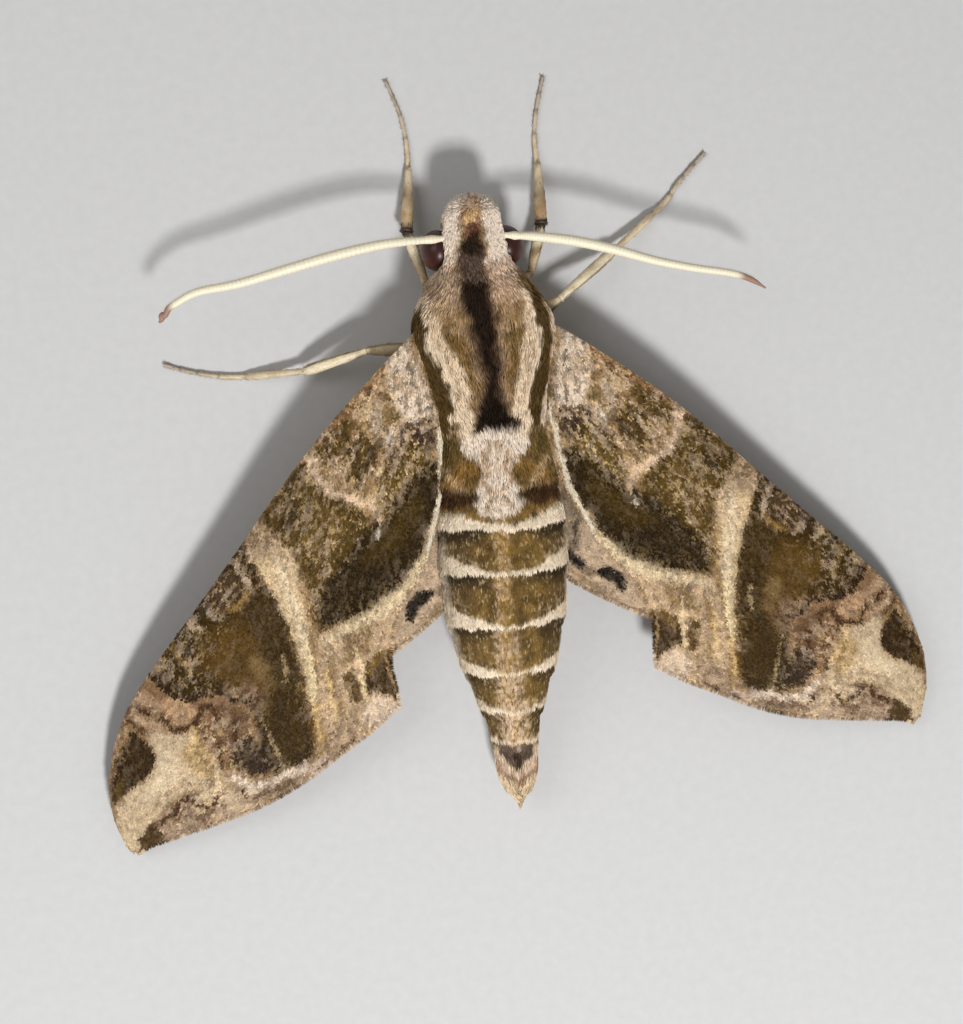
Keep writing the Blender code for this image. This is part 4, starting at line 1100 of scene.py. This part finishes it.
def coat_of_scales(name, surfaces, counts, length, width, lift, finish, stands_for, seed):
    """Shingle the upper and lower faces of a wing with flat scales that point to its edge."""
    random = np.random.default_rng(seed)
    tufts = []
    places = []
    colours = []
    for half, (surface, count) in enumerate(zip(surfaces, counts)):
        row, column = surface.scatter(count, random, np.where(surface.is_flesh, 0.0, 1.0))
        root, normal, along, across = (surface.read(field, row, column) for field in (
            surface.points, surface.normals, surface.along, surface.across))
        out, back = (surface.read(field, row, column)[:, 0] + random.normal(0, 0.07, count)
                     for field in (surface.out, surface.back))
        paint = surface.paint(out, back, half == 1)
        normal = unit(normal)
        turn = SCALE_BEND + random.normal(0, 0.28, count)
        heading = turn_heading(along, across, normal, turn)
        size = random.uniform(0.75, 1.3, count)
        tufts.append(shape_scales(root - normal * 0.01, normal, heading, length * size,
                                  width * size, lift * random.uniform(0.5, 1.3, count)))
        rows, columns, _ = surface.colours.shape
        places.append(np.c_[row / rows * 0.98 + 0.01, column / columns * 0.48 + 0.01 + 0.5 * half])
        colours.append(paint * random.normal(1, 0.13, (count, 1)))
    return make_coat(name, np.vstack(tufts), SCALE_FACES, np.vstack(places), np.vstack(colours),
                     SCALE_TONES, finish, stands_for)


def edge_line(curve, first, last, count):
    """Give places along the edge of a wing."""
    at = np.linspace(first, last, count)
    return list(zip(at, read_curve(curve, at)))


FRINGE_SPACING = 0.032
FRINGE_INSET = 0.55          # how far inside the wing's edge the fringe is rooted


def fringe_of_wing(name, wing, edge_points, lift, colour, finish, stands_for, seed):
    """Set the fringe of long scales along a wing's outer edge."""
    random = np.random.default_rng(seed)
    line = np.array(edge_points)
    steps = np.r_[0, np.cumsum(np.hypot(*np.diff(line, axis=0).T))]
    count = int(steps[-1] / FRINGE_SPACING)
    at = np.sort(random.random(count)) * steps[-1]
    out = np.interp(at, steps, line[:, 0])
    back = np.interp(at, steps, line[:, 1])
    halfway = (steps[1:] + steps[:-1]) / 2
    way = unit(np.stack([np.interp(at, halfway, np.diff(line[:, k])) for k in (0, 1)], axis=1))
    outward = np.c_[-way[:, 1], way[:, 0]]
    inner = (out - outward[:, 0] * FRINGE_INSET, back - outward[:, 1] * FRINGE_INSET)
    rise = lift + random.uniform(-0.05, 0.10, count)
    root = wing_place(wing, *inner, rise)
    ahead = wing_place(wing, inner[0] + outward[:, 0] * 0.1, inner[1] + outward[:, 1] * 0.1, rise)
    heading = unit(ahead - root + random.normal(0, 0.012, root.shape))
    normal = unit(np.cross(heading, np.cross(np.array([0, 0, 1.0]), heading)))
    length = random.uniform(0.58, 0.70, count)
    tufts = shape_scales(root, normal, heading, length, random.uniform(0.08, 0.12, count),
                         random.uniform(-0.03, 0.05, count))
    inward = 2 * FRINGE_INSET
    paint = colour(out - outward[:, 0] * inward, back - outward[:, 1] * inward, False)
    paint = paint * random.normal(1.0, 0.15, (count, 1))
    place = np.c_[at / steps[-1] * 0.98 + 0.01, random.uniform(0.01, 0.99, count)]
    return make_coat(name, tufts, SCALE_FACES, place, paint, SCALE_TONES, finish, stands_for)


MARGIN_HAIR = [(4.4, 6.2, 0), (5.8, 7.3, 0), (8.4, 8.8, 0), (11.0, 10.2, 0), (13.6, 11.2, 0),
               (16.4, 12.0, 0), (19, 12.6, 0)]
MARGIN_STEPS = 200           # points along the line of the margin's hairs
MARGIN_HAIRS = 900
ROOT_HAIRS = 2200


def hair_on_wing(name, wing, spot, ahead, length, paint, finish, stands_for, random):
    """Lay hairs on the forewing, each from its spot towards the place ahead of it."""
    count = len(spot[0])
    root = wing_place(wing, *spot, 0.02)
    heading = unit(wing_place(wing, *ahead, 0.02) - root)
    normal = unit(np.array([0, 0, 1.0]) - heading * heading[:, 2:])
    tufts = shape_locks(root, normal, heading, length, random.uniform(0.07, 0.12, count),
                        random.uniform(0.2, 0.4, count), 0.25)
    place = np.c_[spot[0] / 22 + 0.1, (spot[1] + 3) / 17]
    paint = paint * random.normal(1.0, 0.08, (count, 1))
    return make_coat(name, tufts, LOCK_FACES, place, paint, LOCK_TONES, finish, stands_for)


def hair_of_margin(name, wing, finish, stands_for, seed):
    """Lay the white hairs that line the inner margin of the forewing beside the body."""
    random = np.random.default_rng(seed)
    line = smooth_path(MARGIN_HAIR, MARGIN_STEPS)
    steps = np.arange(MARGIN_STEPS)
    at = random.random(MARGIN_HAIRS) ** 0.8 * (MARGIN_STEPS - 15)
    spot = np.stack([np.interp(at, steps, line[:, k]) for k in (0, 1)])
    ahead = np.stack([np.interp(at + 14, steps, line[:, k]) for k in (0, 1)])
    spot[1] += random.normal(0, 0.14, MARGIN_HAIRS)
    ahead[1] += random.normal(0.05, 0.14, MARGIN_HAIRS)
    paint = linear("#e6dac3") * np.ones((MARGIN_HAIRS, 1))
    length = random.uniform(0.9, 1.5, MARGIN_HAIRS)
    return hair_on_wing(name, wing, spot, ahead, length, paint, finish, stands_for, random)


def hair_of_root(name, wing, finish, stands_for, seed):
    """Lay the long soft hairs that hide the joint between forewing and thorax."""
    random = np.random.default_rng(seed)
    out = random.triangular(-2.4, -0.6, 4.6, ROOT_HAIRS)
    share = random.random(ROOT_HAIRS)
    lead, trail = fore_edges(out)
    back = lead + 0.1 + (np.minimum(trail, 7.0) - lead) * share
    ahead = (out + 1.0, back + 0.1 + 0.5 * share)
    paint = forewing_colours(out + 0.8, back + 0.3, False)
    length = random.uniform(0.8, 1.5, ROOT_HAIRS)
    return hair_on_wing(name, wing, (out, back), ahead, length, paint, finish, stands_for, random)


def coat_of_body(name, skin, kind, count, front, back, length, width, lift, curl, finish,
                 stands_for, seed, sway=0.25, top_share=2.0):
    """Clothe a length of the body, from front to back, in locks or scales that lie towards its
    tail. length is a curve along the body, sway is how much the tufts stray, and top_share is how
    much thicker the coat is above than beneath."""
    random = np.random.default_rng(seed)
    y = skin.points[..., 1]
    wanted = ((y < front) & (y > back)) * np.where(np.abs(skin.angle) < 1.7, top_share, 1.0)
    wanted = wanted * (skin.reach > 0.5)
    row, column = skin.scatter(count, random, wanted)
    root, normal, along, across = (skin.read(field, row, column) for field in (
        skin.points, skin.normals, skin.along, skin.across))
    normal = unit(normal)
    patch = dapple(root, 1.3, seed) - 0.5
    turn = coat_flow(root) + sway * (random.normal(0, 0.6, count) + 2.2 * patch)
    heading = turn_heading(along, across, normal, turn)
    size = random.uniform(0.7, 1.25, count)
    lengths = read_curve(length, root[:, 1]) * size
    widths = width * random.uniform(0.75, 1.3, count)
    rise = lift * random.uniform(0.6, 1.3, count)
    # A few locks stand proud: wider, raised higher, and painted lighter as a painted highlight for the light
    # they catch.
    is_proud_and_highlit = (random.random(count) < 0.13) & (kind == "locks")
    widths = np.where(is_proud_and_highlit, widths * 1.5, widths)
    rise = np.where(is_proud_and_highlit, rise * 1.35, rise)
    if kind == "locks":
        tufts = shape_locks(root - normal * 0.05, normal, heading, lengths, widths, rise, curl * rise)
    else:
        tufts = shape_scales(root - normal * 0.03, normal, heading, lengths, widths, rise)
    tufts[..., 2] = np.maximum(tufts[..., 2], 0.05)
    shape = skin.angle.shape
    halfway = np.clip(row + lengths * 0.5 / STATION_STEP, 0, shape[0] - 1.001)
    angle, share = (skin.read(np.abs(field), halfway, column)[:, 0]
                    for field in (skin.angle, skin.share))
    colours = body_colours(root + heading * (lengths * 0.5)[:, None], angle, share)
    # Painted highlight: the proud locks are painted 1.22 times lighter.
    colours = colours * random.normal(1.0, 0.10, (count, 1)) * np.where(is_proud_and_highlit, 1.22, 1.0)[:, None]
    place = np.c_[row / shape[0] * 0.98 + 0.01, column / shape[1] * 0.98 + 0.01]
    faces, tones = (LOCK_FACES, LOCK_TONES) if kind == "locks" else (SCALE_FACES, SCALE_TONES)
    return make_coat(name, tufts, faces, place, colours, tones, finish, stands_for)


def coat_flow(root):
    """Turn the lie of the coat: forwards on the face, outwards over the shoulders, and in again
    behind them."""
    aside = root[:, 0] - read_curve(MIDLINE, root[:, 1])
    spread = smooth((root[:, 1] - 2.0) / 5) * smooth((9.5 - root[:, 1]) / 3)
    gather = smooth((1.0 - root[:, 1]) / 4) * smooth((root[:, 1] + 11) / 3)
    face = smooth((root[:, 1] - 14.2) / 1.2)
    return np.clip(aside / 6, -1, 1) * (0.25 * spread - 0.35 * gather) + np.sign(aside) * 2.6 * face


# ---- limbs, antennae and eyes ------------------------------------------------------------------

def centreline(node):
    """Read the middle and girth of each ring of a limb's solid, from its end nearest the body."""
    points = np.unique(np.round(read_points(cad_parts[node].data), 3), axis=0)
    centred = points - points.mean(0)
    along = centred @ np.linalg.svd(centred, full_matrices=False)[2][0]
    rings = np.array_split(points[np.argsort(along)], len(points) // 8)
    middles = np.array([(ring.min(0) + ring.max(0)) / 2 for ring in rings])
    girths = np.array([np.linalg.norm(ring - middle, axis=1).mean()
                       for ring, middle in zip(rings, middles)])
    if np.linalg.norm(middles[0, :2]) > np.linalg.norm(middles[-1, :2]):
        return middles[::-1], girths[::-1]
    return middles, girths


def tube(path, girths, sides=14):
    """Sweep a round section along a path. Gives its points and faces, the open grid of its
    surface, and which way is outward at each place of the grid."""
    path = np.asarray(path, dtype=float)
    ahead = unit(np.gradient(path, axis=0))
    aside = unit(np.cross(ahead, np.array([0, 0, 1.0]) + 0.01))
    upward = np.cross(aside, ahead)
    angles = 2 * pi * np.arange(sides + 1) / sides
    ring = np.cos(angles)[:, None] * upward[:, None] + np.sin(angles)[:, None] * aside[:, None]
    grid = path[:, None] + ring * np.asarray(girths)[:, None, None]
    grid[..., 2] = np.maximum(grid[..., 2], 0.0)
    ends = np.array([path[0] - ahead[0] * girths[0] * 0.6, path[-1] + ahead[-1] * girths[-1] * 0.6])
    ends[:, 2] = np.maximum(ends[:, 2], 0.0)
    points = np.vstack([grid[:, :-1].reshape(-1, 3), ends])
    return points, closed_faces(len(path), sides, is_flipped=True), grid, ring


THORN_FACES = np.array([(2, 1, 0), (0, 1, 3), (1, 2, 3), (2, 0, 3)])


def shape_thorns(root, way, length, width):
    """Shape thin thorns: three-sided, and drawn out to a point."""
    up = np.array([0, 0, 1.0]) + 0.01
    side = unit(np.cross(way, up))
    rise = np.cross(side, way)
    half = np.asarray(width) / 2
    base = [root + side * half, root - side * half * 0.5 + rise * half * 0.87,
            root - side * half * 0.5 - rise * half * 0.87]
    points = np.stack([*base, root + way * np.asarray(length)], axis=1)
    points[..., 2] = np.maximum(points[..., 2], 0.0)
    return points


class Parts:
    """Closed shapes gathered to be joined into one piece."""

    def __init__(self):
        self.points = []
        self.faces = []
        self.colours = []
        self.count = 0

    def add(self, points, faces, colours):
        self.points.append(points)
        self.faces += [np.asarray(part) + self.count for part in faces]
        self.colours.append(np.broadcast_to(colours, points.shape))
        self.count += len(points)

    def add_many(self, shapes, faces, colours):
        shifts = (np.arange(len(shapes)) * shapes.shape[1])[:, None, None]
        self.add(shapes.reshape(-1, 3), [(faces[None] + shifts).reshape(-1, 3)], colours)

    def make(self, name, finish, stands_for):
        return make_piece(name, np.vstack(self.points), self.faces, np.vstack(self.colours), finish,
                          stands_for)


LEG_NAMES = [pair + side for pair in ("fore_", "mid_", "hind_") for side in ("left", "right")]
LEG_PARTS = ("femur", "tibia", "foot")
LEG_GROUNDS = {"femur": "#e4d2ad", "tibia": "#ecddbd", "foot": "#d2c0a2"}
LET_IN = {"femur": 0.3, "tibia": 0.3, "foot": 0.15}       # how far a part starts in the one before
REACH_ON = {"femur": 0.3, "tibia": 0.12, "foot": 0.05}    # and ends in the one after it
LEG_POINTS = {"femur": 26, "tibia": 26, "foot": 60}
LEG_SCALES = {"femur": 420, "tibia": 420, "foot": 260}
TARSUS_SHARES = [0.0, 0.42, 0.62, 0.77, 0.89, 1.0]   # where each joint of the foot ends
SPURS = {"fore": [(0.55, 1, 0.9)],                   # share of the tibia, side and length
         "mid_": [(1.0, 1, 1.5), (1.0, -1, 1.1)],
         "hind": [(1.0, 1, 1.7), (1.0, -1, 1.3), (0.66, 1, 1.6), (0.66, -1, 1.2)]}


def share_along(path):
    """Give the share of a path's length that lies before each of its points."""
    steps = np.linalg.norm(np.diff(path, axis=0), axis=1)
    return np.r_[0, np.cumsum(steps)] / steps.sum()


def leg_colours(grid, part, is_fore, share):
    """Colour a leg: cream above with a dark stripe along its rear edge, greyer at the foot. The
    fore feet start with a dark ring, a painted shadow that also darkens the end of the fore
    tibia, and a golden stretch."""
    share = share[:, None]
    colours = np.zeros(grid.shape) + linear(LEG_GROUNDS[part])
    patches = smooth(dapple(grid, 0.8, 71) * 3 - 1.4)
    colours = lay(colours, "#896e50", (0.85 if is_fore else 0.35) * patches)
    if part == "foot":
        colours = lay(colours, "#a39689", 0.8 * smooth((share - 0.45) * 2))
        for joint in TARSUS_SHARES[1:-1]:
            colours = lay(colours, "#6d5c47", 0.7 * smooth(1 - np.abs(share - joint) / 0.02))
        if is_fore:
            colours = lay(colours, "#b08a5a", 0.6 * smooth(1.2 - share * 3.2))
            # Painted shadow: a dark ring across the start of the fore foot.
            colours = lay(colours, "#2c1f16", 0.95 * smooth(1 - (share - 0.035) / 0.015))
        return colours
    around = np.linspace(0, 1, grid.shape[1])[None]
    stripe = smooth(1 - np.abs(around - 0.16) / 0.09)
    colours = lay(colours, "#54432b", (0.6 if is_fore else 0.85) * stripe)
    if is_fore and part == "tibia":
        colours = lay(colours, "#b08a5a", 0.5 * smooth(1.2 - share * 2))
        # Painted shadow: the end of the fore tibia is darkened, the same dark ring that crosses the start of
        # the foot.
        colours = lay(colours, "#2c1f16", 0.95 * smooth((share - 0.82) / 0.05))
    return colours


def leg_line(part, is_fore, middles, girths):
    """Give the line, the girth and the share of the length at each ring of a part of a leg. It is
    let into its neighbours, and a femur into the body."""
    start = unit(middles[0] - middles[1])
    end = unit(middles[-1] - middles[-2])
    before = middles[0] + start * LET_IN[part]
    if part == "femur":
        hip = np.array([spine(before[1])[0], before[1], spine(before[1])[1]])
        before = np.vstack([before + (hip - before) * 0.6, before + (hip - before) * 0.25])
    path = np.vstack([before, middles, middles[-1] + end * REACH_ON[part]])
    girth = np.r_[[girths[0] * 1.3] * (len(path) - len(middles) - 1), girths, girths[-1] * 0.8]
    steps = np.linspace(0, len(path) - 1, LEG_POINTS[part])
    line = smooth_path(path, LEG_POINTS[part])
    girth = read_curve(list(enumerate(girth)), steps) * 0.97
    share = share_along(line)
    if part == "foot":
        joint = np.clip(np.searchsorted(TARSUS_SHARES, share) - 1, 0, 4)
        low = np.array(TARSUS_SHARES)[joint]
        high = np.array(TARSUS_SHARES)[joint + 1]
        girth *= (0.70 + 0.30 * ((share - low) / (high - low)) ** 0.7) * (1 - 0.25 * share)
        girth *= 1 + (1.1 if is_fore else 0.0) * smooth(1 - share / 0.42)
        line[:, 2] = np.maximum(line[:, 2], girth * 0.75)
    return line, girth, share


def scatter_leg_scales(surface, colours, part, random):
    """Scatter small scales over a part of a leg. Gives them, their colours and their places."""
    count = LEG_SCALES[part]
    row, column = surface.scatter(count, random)
    root, normal, along, paint = (surface.read(field, row, column) for field in (
        surface.points, surface.normals, surface.along, colours))
    size = random.uniform(0.7, 1.2, count)
    shapes = shape_scales(root - unit(normal) * 0.02, unit(normal), unit(along), 0.42 * size,
                          0.14 * size, 0.16 * size)
    shapes[..., 2] = np.maximum(shapes[..., 2], 0.01)
    paint = paint * random.normal(1, 0.12, (count, 1))
    rows, columns, _ = colours.shape
    place = np.c_[(row / rows + LEG_PARTS.index(part)) / 3.1 + 0.01, column / columns * 0.97 + 0.01]
    return shapes, paint, place


def sideways(heading):
    """Give the level way across a line."""
    return np.cross(heading, np.array([0, 0, 1.0]))


def add_bristles(parts, line, girth, heading, random):
    """Add the two rows of bristles under a foot, and its claws."""
    for edge in (-1, 1):
        at = np.arange(3 + (edge > 0), len(line) - 4, 2)
        side = unit(sideways(heading[at])) * edge
        root = line[at] + side * girth[at, None] * 0.8
        way = unit(side * 0.7 + heading[at] * 0.8 + np.array([0, 0, -0.15]))
        thorns = shape_thorns(root, way, random.uniform(0.28, 0.5, (len(at), 1)), 0.07)
        parts.add_many(thorns, THORN_FACES, linear("#8a7350"))
    tip = line[-1]
    for edge in (-1, 1):
        side = sideways(heading[-1]) * edge
        hook = [tip + side * 0.05, tip + side * 0.18 + heading[-1] * 0.22 + (0, 0, 0.06),
                tip + side * 0.24 + heading[-1] * 0.42 - (0, 0, 0.12)]
        points, faces, *_ = tube(smooth_path(hook, 8), np.linspace(0.06, 0.012, 8), 6)
        parts.add(points, faces, linear("#4d3a28"))


def add_spurs(parts, leg, line, girth, heading):
    """Add the spurs of a tibia."""
    for share, edge, length in SPURS[leg[:4]]:
        at = int(share * (len(line) - 3))
        side = unit(sideways(heading[at])) * edge
        root = line[at] + side * girth[at] * 0.6
        spur = [root, root + heading[at] * length * 0.5 + side * 0.3,
                root + heading[at] * length + side * 0.35]
        points, faces, *_ = tube(smooth_path(spur, 10), np.linspace(0.11, 0.03, 10), 8)
        parts.add(points, faces, linear("#d8c7a4"))


def make_leg(leg, finish, coat_finish):
    """Make a leg of femur, tibia and five-jointed foot, with its bristles, spurs and claws, and
    its coat of small scales."""
    parts = Parts()
    is_fore = leg.startswith("fore")
    nodes = [part + "_" + leg for part in LEG_PARTS]
    coat = []
    random = np.random.default_rng(sum(map(ord, leg)))
    for part, node in zip(LEG_PARTS, nodes):
        line, girth, share = leg_line(part, is_fore, *centreline(node))
        points, faces, grid, outward = tube(line, girth)
        colours = leg_colours(grid, part, is_fore, share)
        parts.add(points, faces, closed_paint(colours))
        coat.append(scatter_leg_scales(Surface(grid, outward), colours, part, random))
        heading = unit(np.gradient(line, axis=0))
        if part == "foot":
            add_bristles(parts, line, girth, heading, random)
        if part == "tibia":
            add_spurs(parts, leg, line, girth, heading)
    parts.make("leg_" + leg, finish, nodes)
    scales, paints, places = (np.vstack(rows) for rows in zip(*coat))
    make_coat("leg_coat_" + leg, scales, SCALE_FACES, places, paints, SCALE_TONES, coat_finish,
              nodes)


ANTENNA_RINGS = 90
RING_POINTS = 4              # points along each ring of an antenna


def make_antenna(side, finish):
    """Make an antenna: a shaft of about ninety short rings, a comb of fine bristles along its
    front edge, and a thin brown hook at its tip."""
    node = "antenna_" + side
    middles, girths = centreline(node)
    start = unit(middles[0] - middles[1])
    path = np.vstack([middles[0] + start * 1.2, middles])
    girth = np.r_[girths[0], girths]
    count = ANTENNA_RINGS * RING_POINTS + 1
    steps = np.linspace(0, len(path) - 1, count)
    line = smooth_path(path, count)
    share = np.linspace(0, 1, count)
    bulge = np.abs(np.sin(share * ANTENNA_RINGS * pi))
    size = read_curve(list(enumerate(girth)), steps)
    size = size * (0.97 + 0.025 * bulge) * (1 - 0.55 * smooth((share - 0.9) / 0.1))
    size = size * (1 + 0.35 * smooth(1 - np.abs(share - 0.045) / 0.03))
    parts = Parts()
    points, faces, grid, _ = tube(line, size, 12)
    colours = np.zeros(grid.shape) + linear("#efe6cc")
    around = np.cos(np.linspace(0, 2 * pi, grid.shape[1]))[None]
    colours = lay(colours, "#c9b186", 0.7 * smooth(-around * 1.5))
    colours = lay(colours, "#8c6052", 0.9 * smooth((share - 0.78) / 0.07)[:, None])
    colours = lay(colours, "#b9a37a", 0.18 * smooth(1 - bulge * 3)[:, None])
    parts.add(points, faces, closed_paint(colours))
    heading = unit(np.gradient(line, axis=0))
    front = unit(np.cross(np.array([0, 0, 1.0]), heading))
    front = front * np.sign(front[count // 2, 1])
    for turn, reach in ((0.25, 0.42), (-0.35, 0.36)):
        at = np.arange(24, int(count * 0.9), 2)
        way = unit(front[at] * np.cos(turn) + np.array([0, 0, np.sin(turn)]) + heading[at] * 0.35)
        root = line[at] + way * size[at, None] * 0.7
        length = reach * (1 - 0.5 * share[at, None]) + size[at, None] * 0.3
        thorns = shape_thorns(root, way, length, 0.05)
        parts.add_many(thorns, THORN_FACES, linear("#e3d3b0"))
    parts.make(node + "_shaft", finish, [node])


EYE_ROWS = 40
EYE_COLUMNS = 64
EYE_POLE = 0.02              # how far from each pole of the egg its rings start


def make_eye(side, finish):
    """Make a compound eye: a smooth egg of thousands of facets, set in the head's socket."""
    node = "eye_" + side
    low, high = ((np.array(corner) - ORIGIN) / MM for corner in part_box(node))
    middle = (low + high) / 2
    size = (high - low) / 2
    down = np.linspace(EYE_POLE, pi - EYE_POLE, EYE_ROWS)[:, None]
    over = (2 * pi * np.arange(EYE_COLUMNS) / EYE_COLUMNS)[None]
    grid = np.stack([np.sin(down) * np.cos(over), np.sin(down) * np.sin(over),
                     np.cos(down) + 0 * over], axis=-1)
    points = np.vstack([grid.reshape(-1, 3), [(0, 0, 1), (0, 0, -1)]])
    band = smooth(1.4 - np.abs(points[:, 2:]) * 1.6)
    colours = linear("#321410") * (1 - band) + linear("#50261d") * band
    make_piece(node + "_facets", middle + points * size, closed_faces(EYE_ROWS, EYE_COLUMNS), colours,
               finish, [node])


# ---- floor, light and camera -------------------------------------------------------------------

FLOOR_SIZE = 3.0             # metres


def paper_finish():
    """Matt paper, pressed from pulp. Its fibres, 0.02 mm wide, are drawn as a faint grain of about
    1 mm so that they show. The eye sees a plain pale sheet with no shine."""
    material = bpy.data.materials.new("matt_paper")
    material.use_nodes = True
    tree = material.node_tree
    shader = tree.nodes["Principled BSDF"]
    place = add_node(tree, "ShaderNodeTexCoord")
    grain = add_node(tree, "ShaderNodeTexNoise", {"Scale": 900.0, "Detail": 2.0},
                     Vector=place.outputs["Object"])
    tone = add_node(tree, "ShaderNodeMapRange", {"To Min": 0.55, "To Max": 0.61},
                    Value=grain.outputs["Fac"])
    tree.links.new(tone.outputs["Result"], shader.inputs["Base Color"])
    shader.inputs["Roughness"].default_value = 0.9
    shader.inputs["Specular IOR Level"].default_value = 0.2
    return material


def make_floor():
    """Make the pale floor that the moth stands on."""
    mesh = bpy.data.meshes.new("floor")
    half = FLOOR_SIZE / 2
    corners = [(-half, -half, 0), (half, -half, 0), (half, half, 0), (-half, half, 0)]
    mesh.from_pydata(corners, [], [(0, 1, 2, 3)])
    mesh.materials.append(paper_finish())
    floor = bpy.data.objects.new("floor", mesh)
    bpy.context.collection.objects.link(floor)


def add_lamp(name, place, size, power, target=(0, 0, 0.005)):
    """Hang a square soft light that looks at the moth."""
    lamp = bpy.data.lights.new(name, "AREA")
    lamp.size = size
    lamp.energy = power
    thing = bpy.data.objects.new(name, lamp)
    thing.location = place
    thing.rotation_euler = (Vector(target) - Vector(place)).to_track_quat("-Z", "Y").to_euler()
    bpy.context.collection.objects.link(thing)


SKY_COLOUR = (1.0, 0.98, 0.95, 1.0)
SKY_STRENGTH = 0.27
LENS = 79.9
CAMERA_REACH = 0.25          # from what it looks at, in metres
CAMERA_WAY = Vector((-0.1392, 0.0872, 0.9864))   # from there to the camera
CAMERA_UP = Vector((0.0785, 0.9969, 0.0))        # what is up in the picture
AIM_LEFT = 0.00343           # the camera looks this far left of the solids' middle
AIM_BEHIND = 0.00658         # this far behind it
AIM_HEIGHT = 0.003           # and this far over the floor


def place_camera():
    """Place the camera, which looks down on the moth with its head at the top."""
    camera = bpy.data.objects.new("camera", bpy.data.cameras.new("camera"))
    camera.data.sensor_width = 36
    camera.data.lens = LENS
    camera.data.clip_start = 0.01
    bpy.context.collection.objects.link(camera)
    middle = (CAD_LOW + CAD_HIGH) / 2
    target = Vector((middle.x - AIM_LEFT, middle.y - AIM_BEHIND, AIM_HEIGHT))
    back = CAMERA_WAY.normalized()
    right = CAMERA_UP.cross(back).normalized()
    turn = Matrix((right, back.cross(right), back)).transposed().to_4x4()
    camera.matrix_world = Matrix.Translation(target + CAMERA_WAY * CAMERA_REACH) @ turn
    bpy.context.scene.camera = camera


def set_stage():
    """Set the floor, the soft studio light and the camera."""
    make_floor()
    world = bpy.data.worlds.new("studio")
    world.use_nodes = True
    sky = world.node_tree.nodes["Background"]
    sky.inputs["Color"].default_value = SKY_COLOUR
    sky.inputs["Strength"].default_value = SKY_STRENGTH
    bpy.context.scene.world = world
    bpy.context.scene.view_settings.view_transform = "Standard"
    add_lamp("key", (0.02, -0.30, 0.42), 0.08, 2.35)
    add_lamp("fill", (-0.35, 0.15, 0.35), 0.30, 0.6)
    place_camera()


# ---- the moth --------------------------------------------------------------------------------

FORE_OUTS = np.linspace(-3.0, 62.6, 264)
HIND_OUTS = np.linspace(4.0, 43.8, 120)


def make_wings(wing, number, skin, membrane, flat_scales, fur):
    """Make the forewing and the hindwing of one side with all their scales, fringes and hairs."""
    fore_node = "forewing_" + wing
    hind_node = "hindwing_" + wing
    fore = make_wing(fore_node + "_membrane", wing, FORE_OUTS, 90, fore_edges, VEINS,
                     forewing_colours, 0.0, skin, membrane)
    hind = make_wing(hind_node + "_membrane", wing, HIND_OUTS, 60, hind_edges, HIND_VEINS,
                     hindwing_colours, -HIND_BELOW, skin, membrane)
    coat_of_scales(fore_node + "_scales", fore, (30000, 8000), 0.36, 0.19, 0.16, flat_scales,
                   [fore_node], 100 + number)
    coat_of_scales(hind_node + "_scales", hind, (7000, 7000), 0.36, 0.19, 0.14, flat_scales,
                   [hind_node], 110 + number)
    outer = edge_line(INNER_MARGIN, 26, 35.2, 20) + edge_line(OUTER_MARGIN, 35.5, 62.9, 60)
    fringe_of_wing(fore_node + "_fringe", wing, outer, 0.0, forewing_colours, flat_scales,
                   [fore_node], 120 + number)
    hair_of_margin(fore_node + "_margin_hair", wing, fur, [fore_node], 140 + number)
    hair_of_root(fore_node + "_root_hair", wing, fur, [fore_node], 150 + number)
    hem = edge_line(HIND_MARGIN, 16, 43.5, 60)
    fringe_of_wing(hind_node + "_fringe", wing, hem, -HIND_BELOW, hindwing_colours, flat_scales,
                   [hind_node], 130 + number)


def clothe_body(skin, fur):
    """Clothe the body from head to tail, each coat overlapping the next."""
    coat_of_body("head_hair", skin, "locks", 15000, 16.2, 8.6, [(8, 1.0), (10, 0.85), (16, 0.6)],
                 0.11, 0.5, 0.55, fur, ["head", "collar", "palp_left", "palp_right"], 201)
    coat_of_body("collar_hair", skin, "locks", 15000, 8.8, 3.6, [(3, 1.2), (9, 1.0)], 0.12, 0.42, 0.6,
                 fur, ["collar", "thorax"], 202)
    coat_of_body("thorax_hair", skin, "locks", 19500, 3.8, -9.2, [(-9, 1.1), (-4, 1.25), (4, 1.2)],
                 0.14, 0.42, 0.6, fur, ["thorax"], 203)
    coat_of_body("loin_hair", skin, "locks", 13000, -8.6, -18.6, [(-18, 0.9), (-9, 1.2)], 0.13, 0.36,
                 0.55, fur, ["abdomen_1", "abdomen_2"], 204)
    coat_of_body("abdomen_scales_front", skin, "scales", 38000, -17.2, -30.4, [(-30, 0.72), (-15, 0.76)],
                 0.13, 0.22, 0, fur, RINGS[:4], 205, sway=0.15)
    coat_of_body("abdomen_scales_rear", skin, "scales", 28000, -30.2, -44.2, [(-44, 0.78), (-30, 0.72)],
                 0.125, 0.22, 0, fur, RINGS[3:], 206, sway=0.15)
    coat_of_body("tail_hair", skin, "locks", 7000, -43.6, -50.6, [(-51, 0.9), (-47, 1.3), (-44, 1.5)],
                 0.13, 0.22, 0.6, fur, ["tail_tuft"], 207, sway=0.15, top_share=1.3)


def main():
    """Make the moth and its stage."""
    fur = hair_finish()
    flat_scales = flat_scale_finish()
    membrane = membrane_finish()
    cuticle = cuticle_finish()
    eye = eye_finish()
    skin = make_skin(skin_finish())
    for number, wing in enumerate(WINGS, start=1):
        make_wings(wing, number, skin, membrane, flat_scales, fur)
    clothe_body(skin, fur)
    for leg in LEG_NAMES:
        make_leg(leg, cuticle, flat_scales)
    for side in WINGS:
        make_antenna(side, cuticle)
        make_eye(side, eye)
    set_stage()


main()
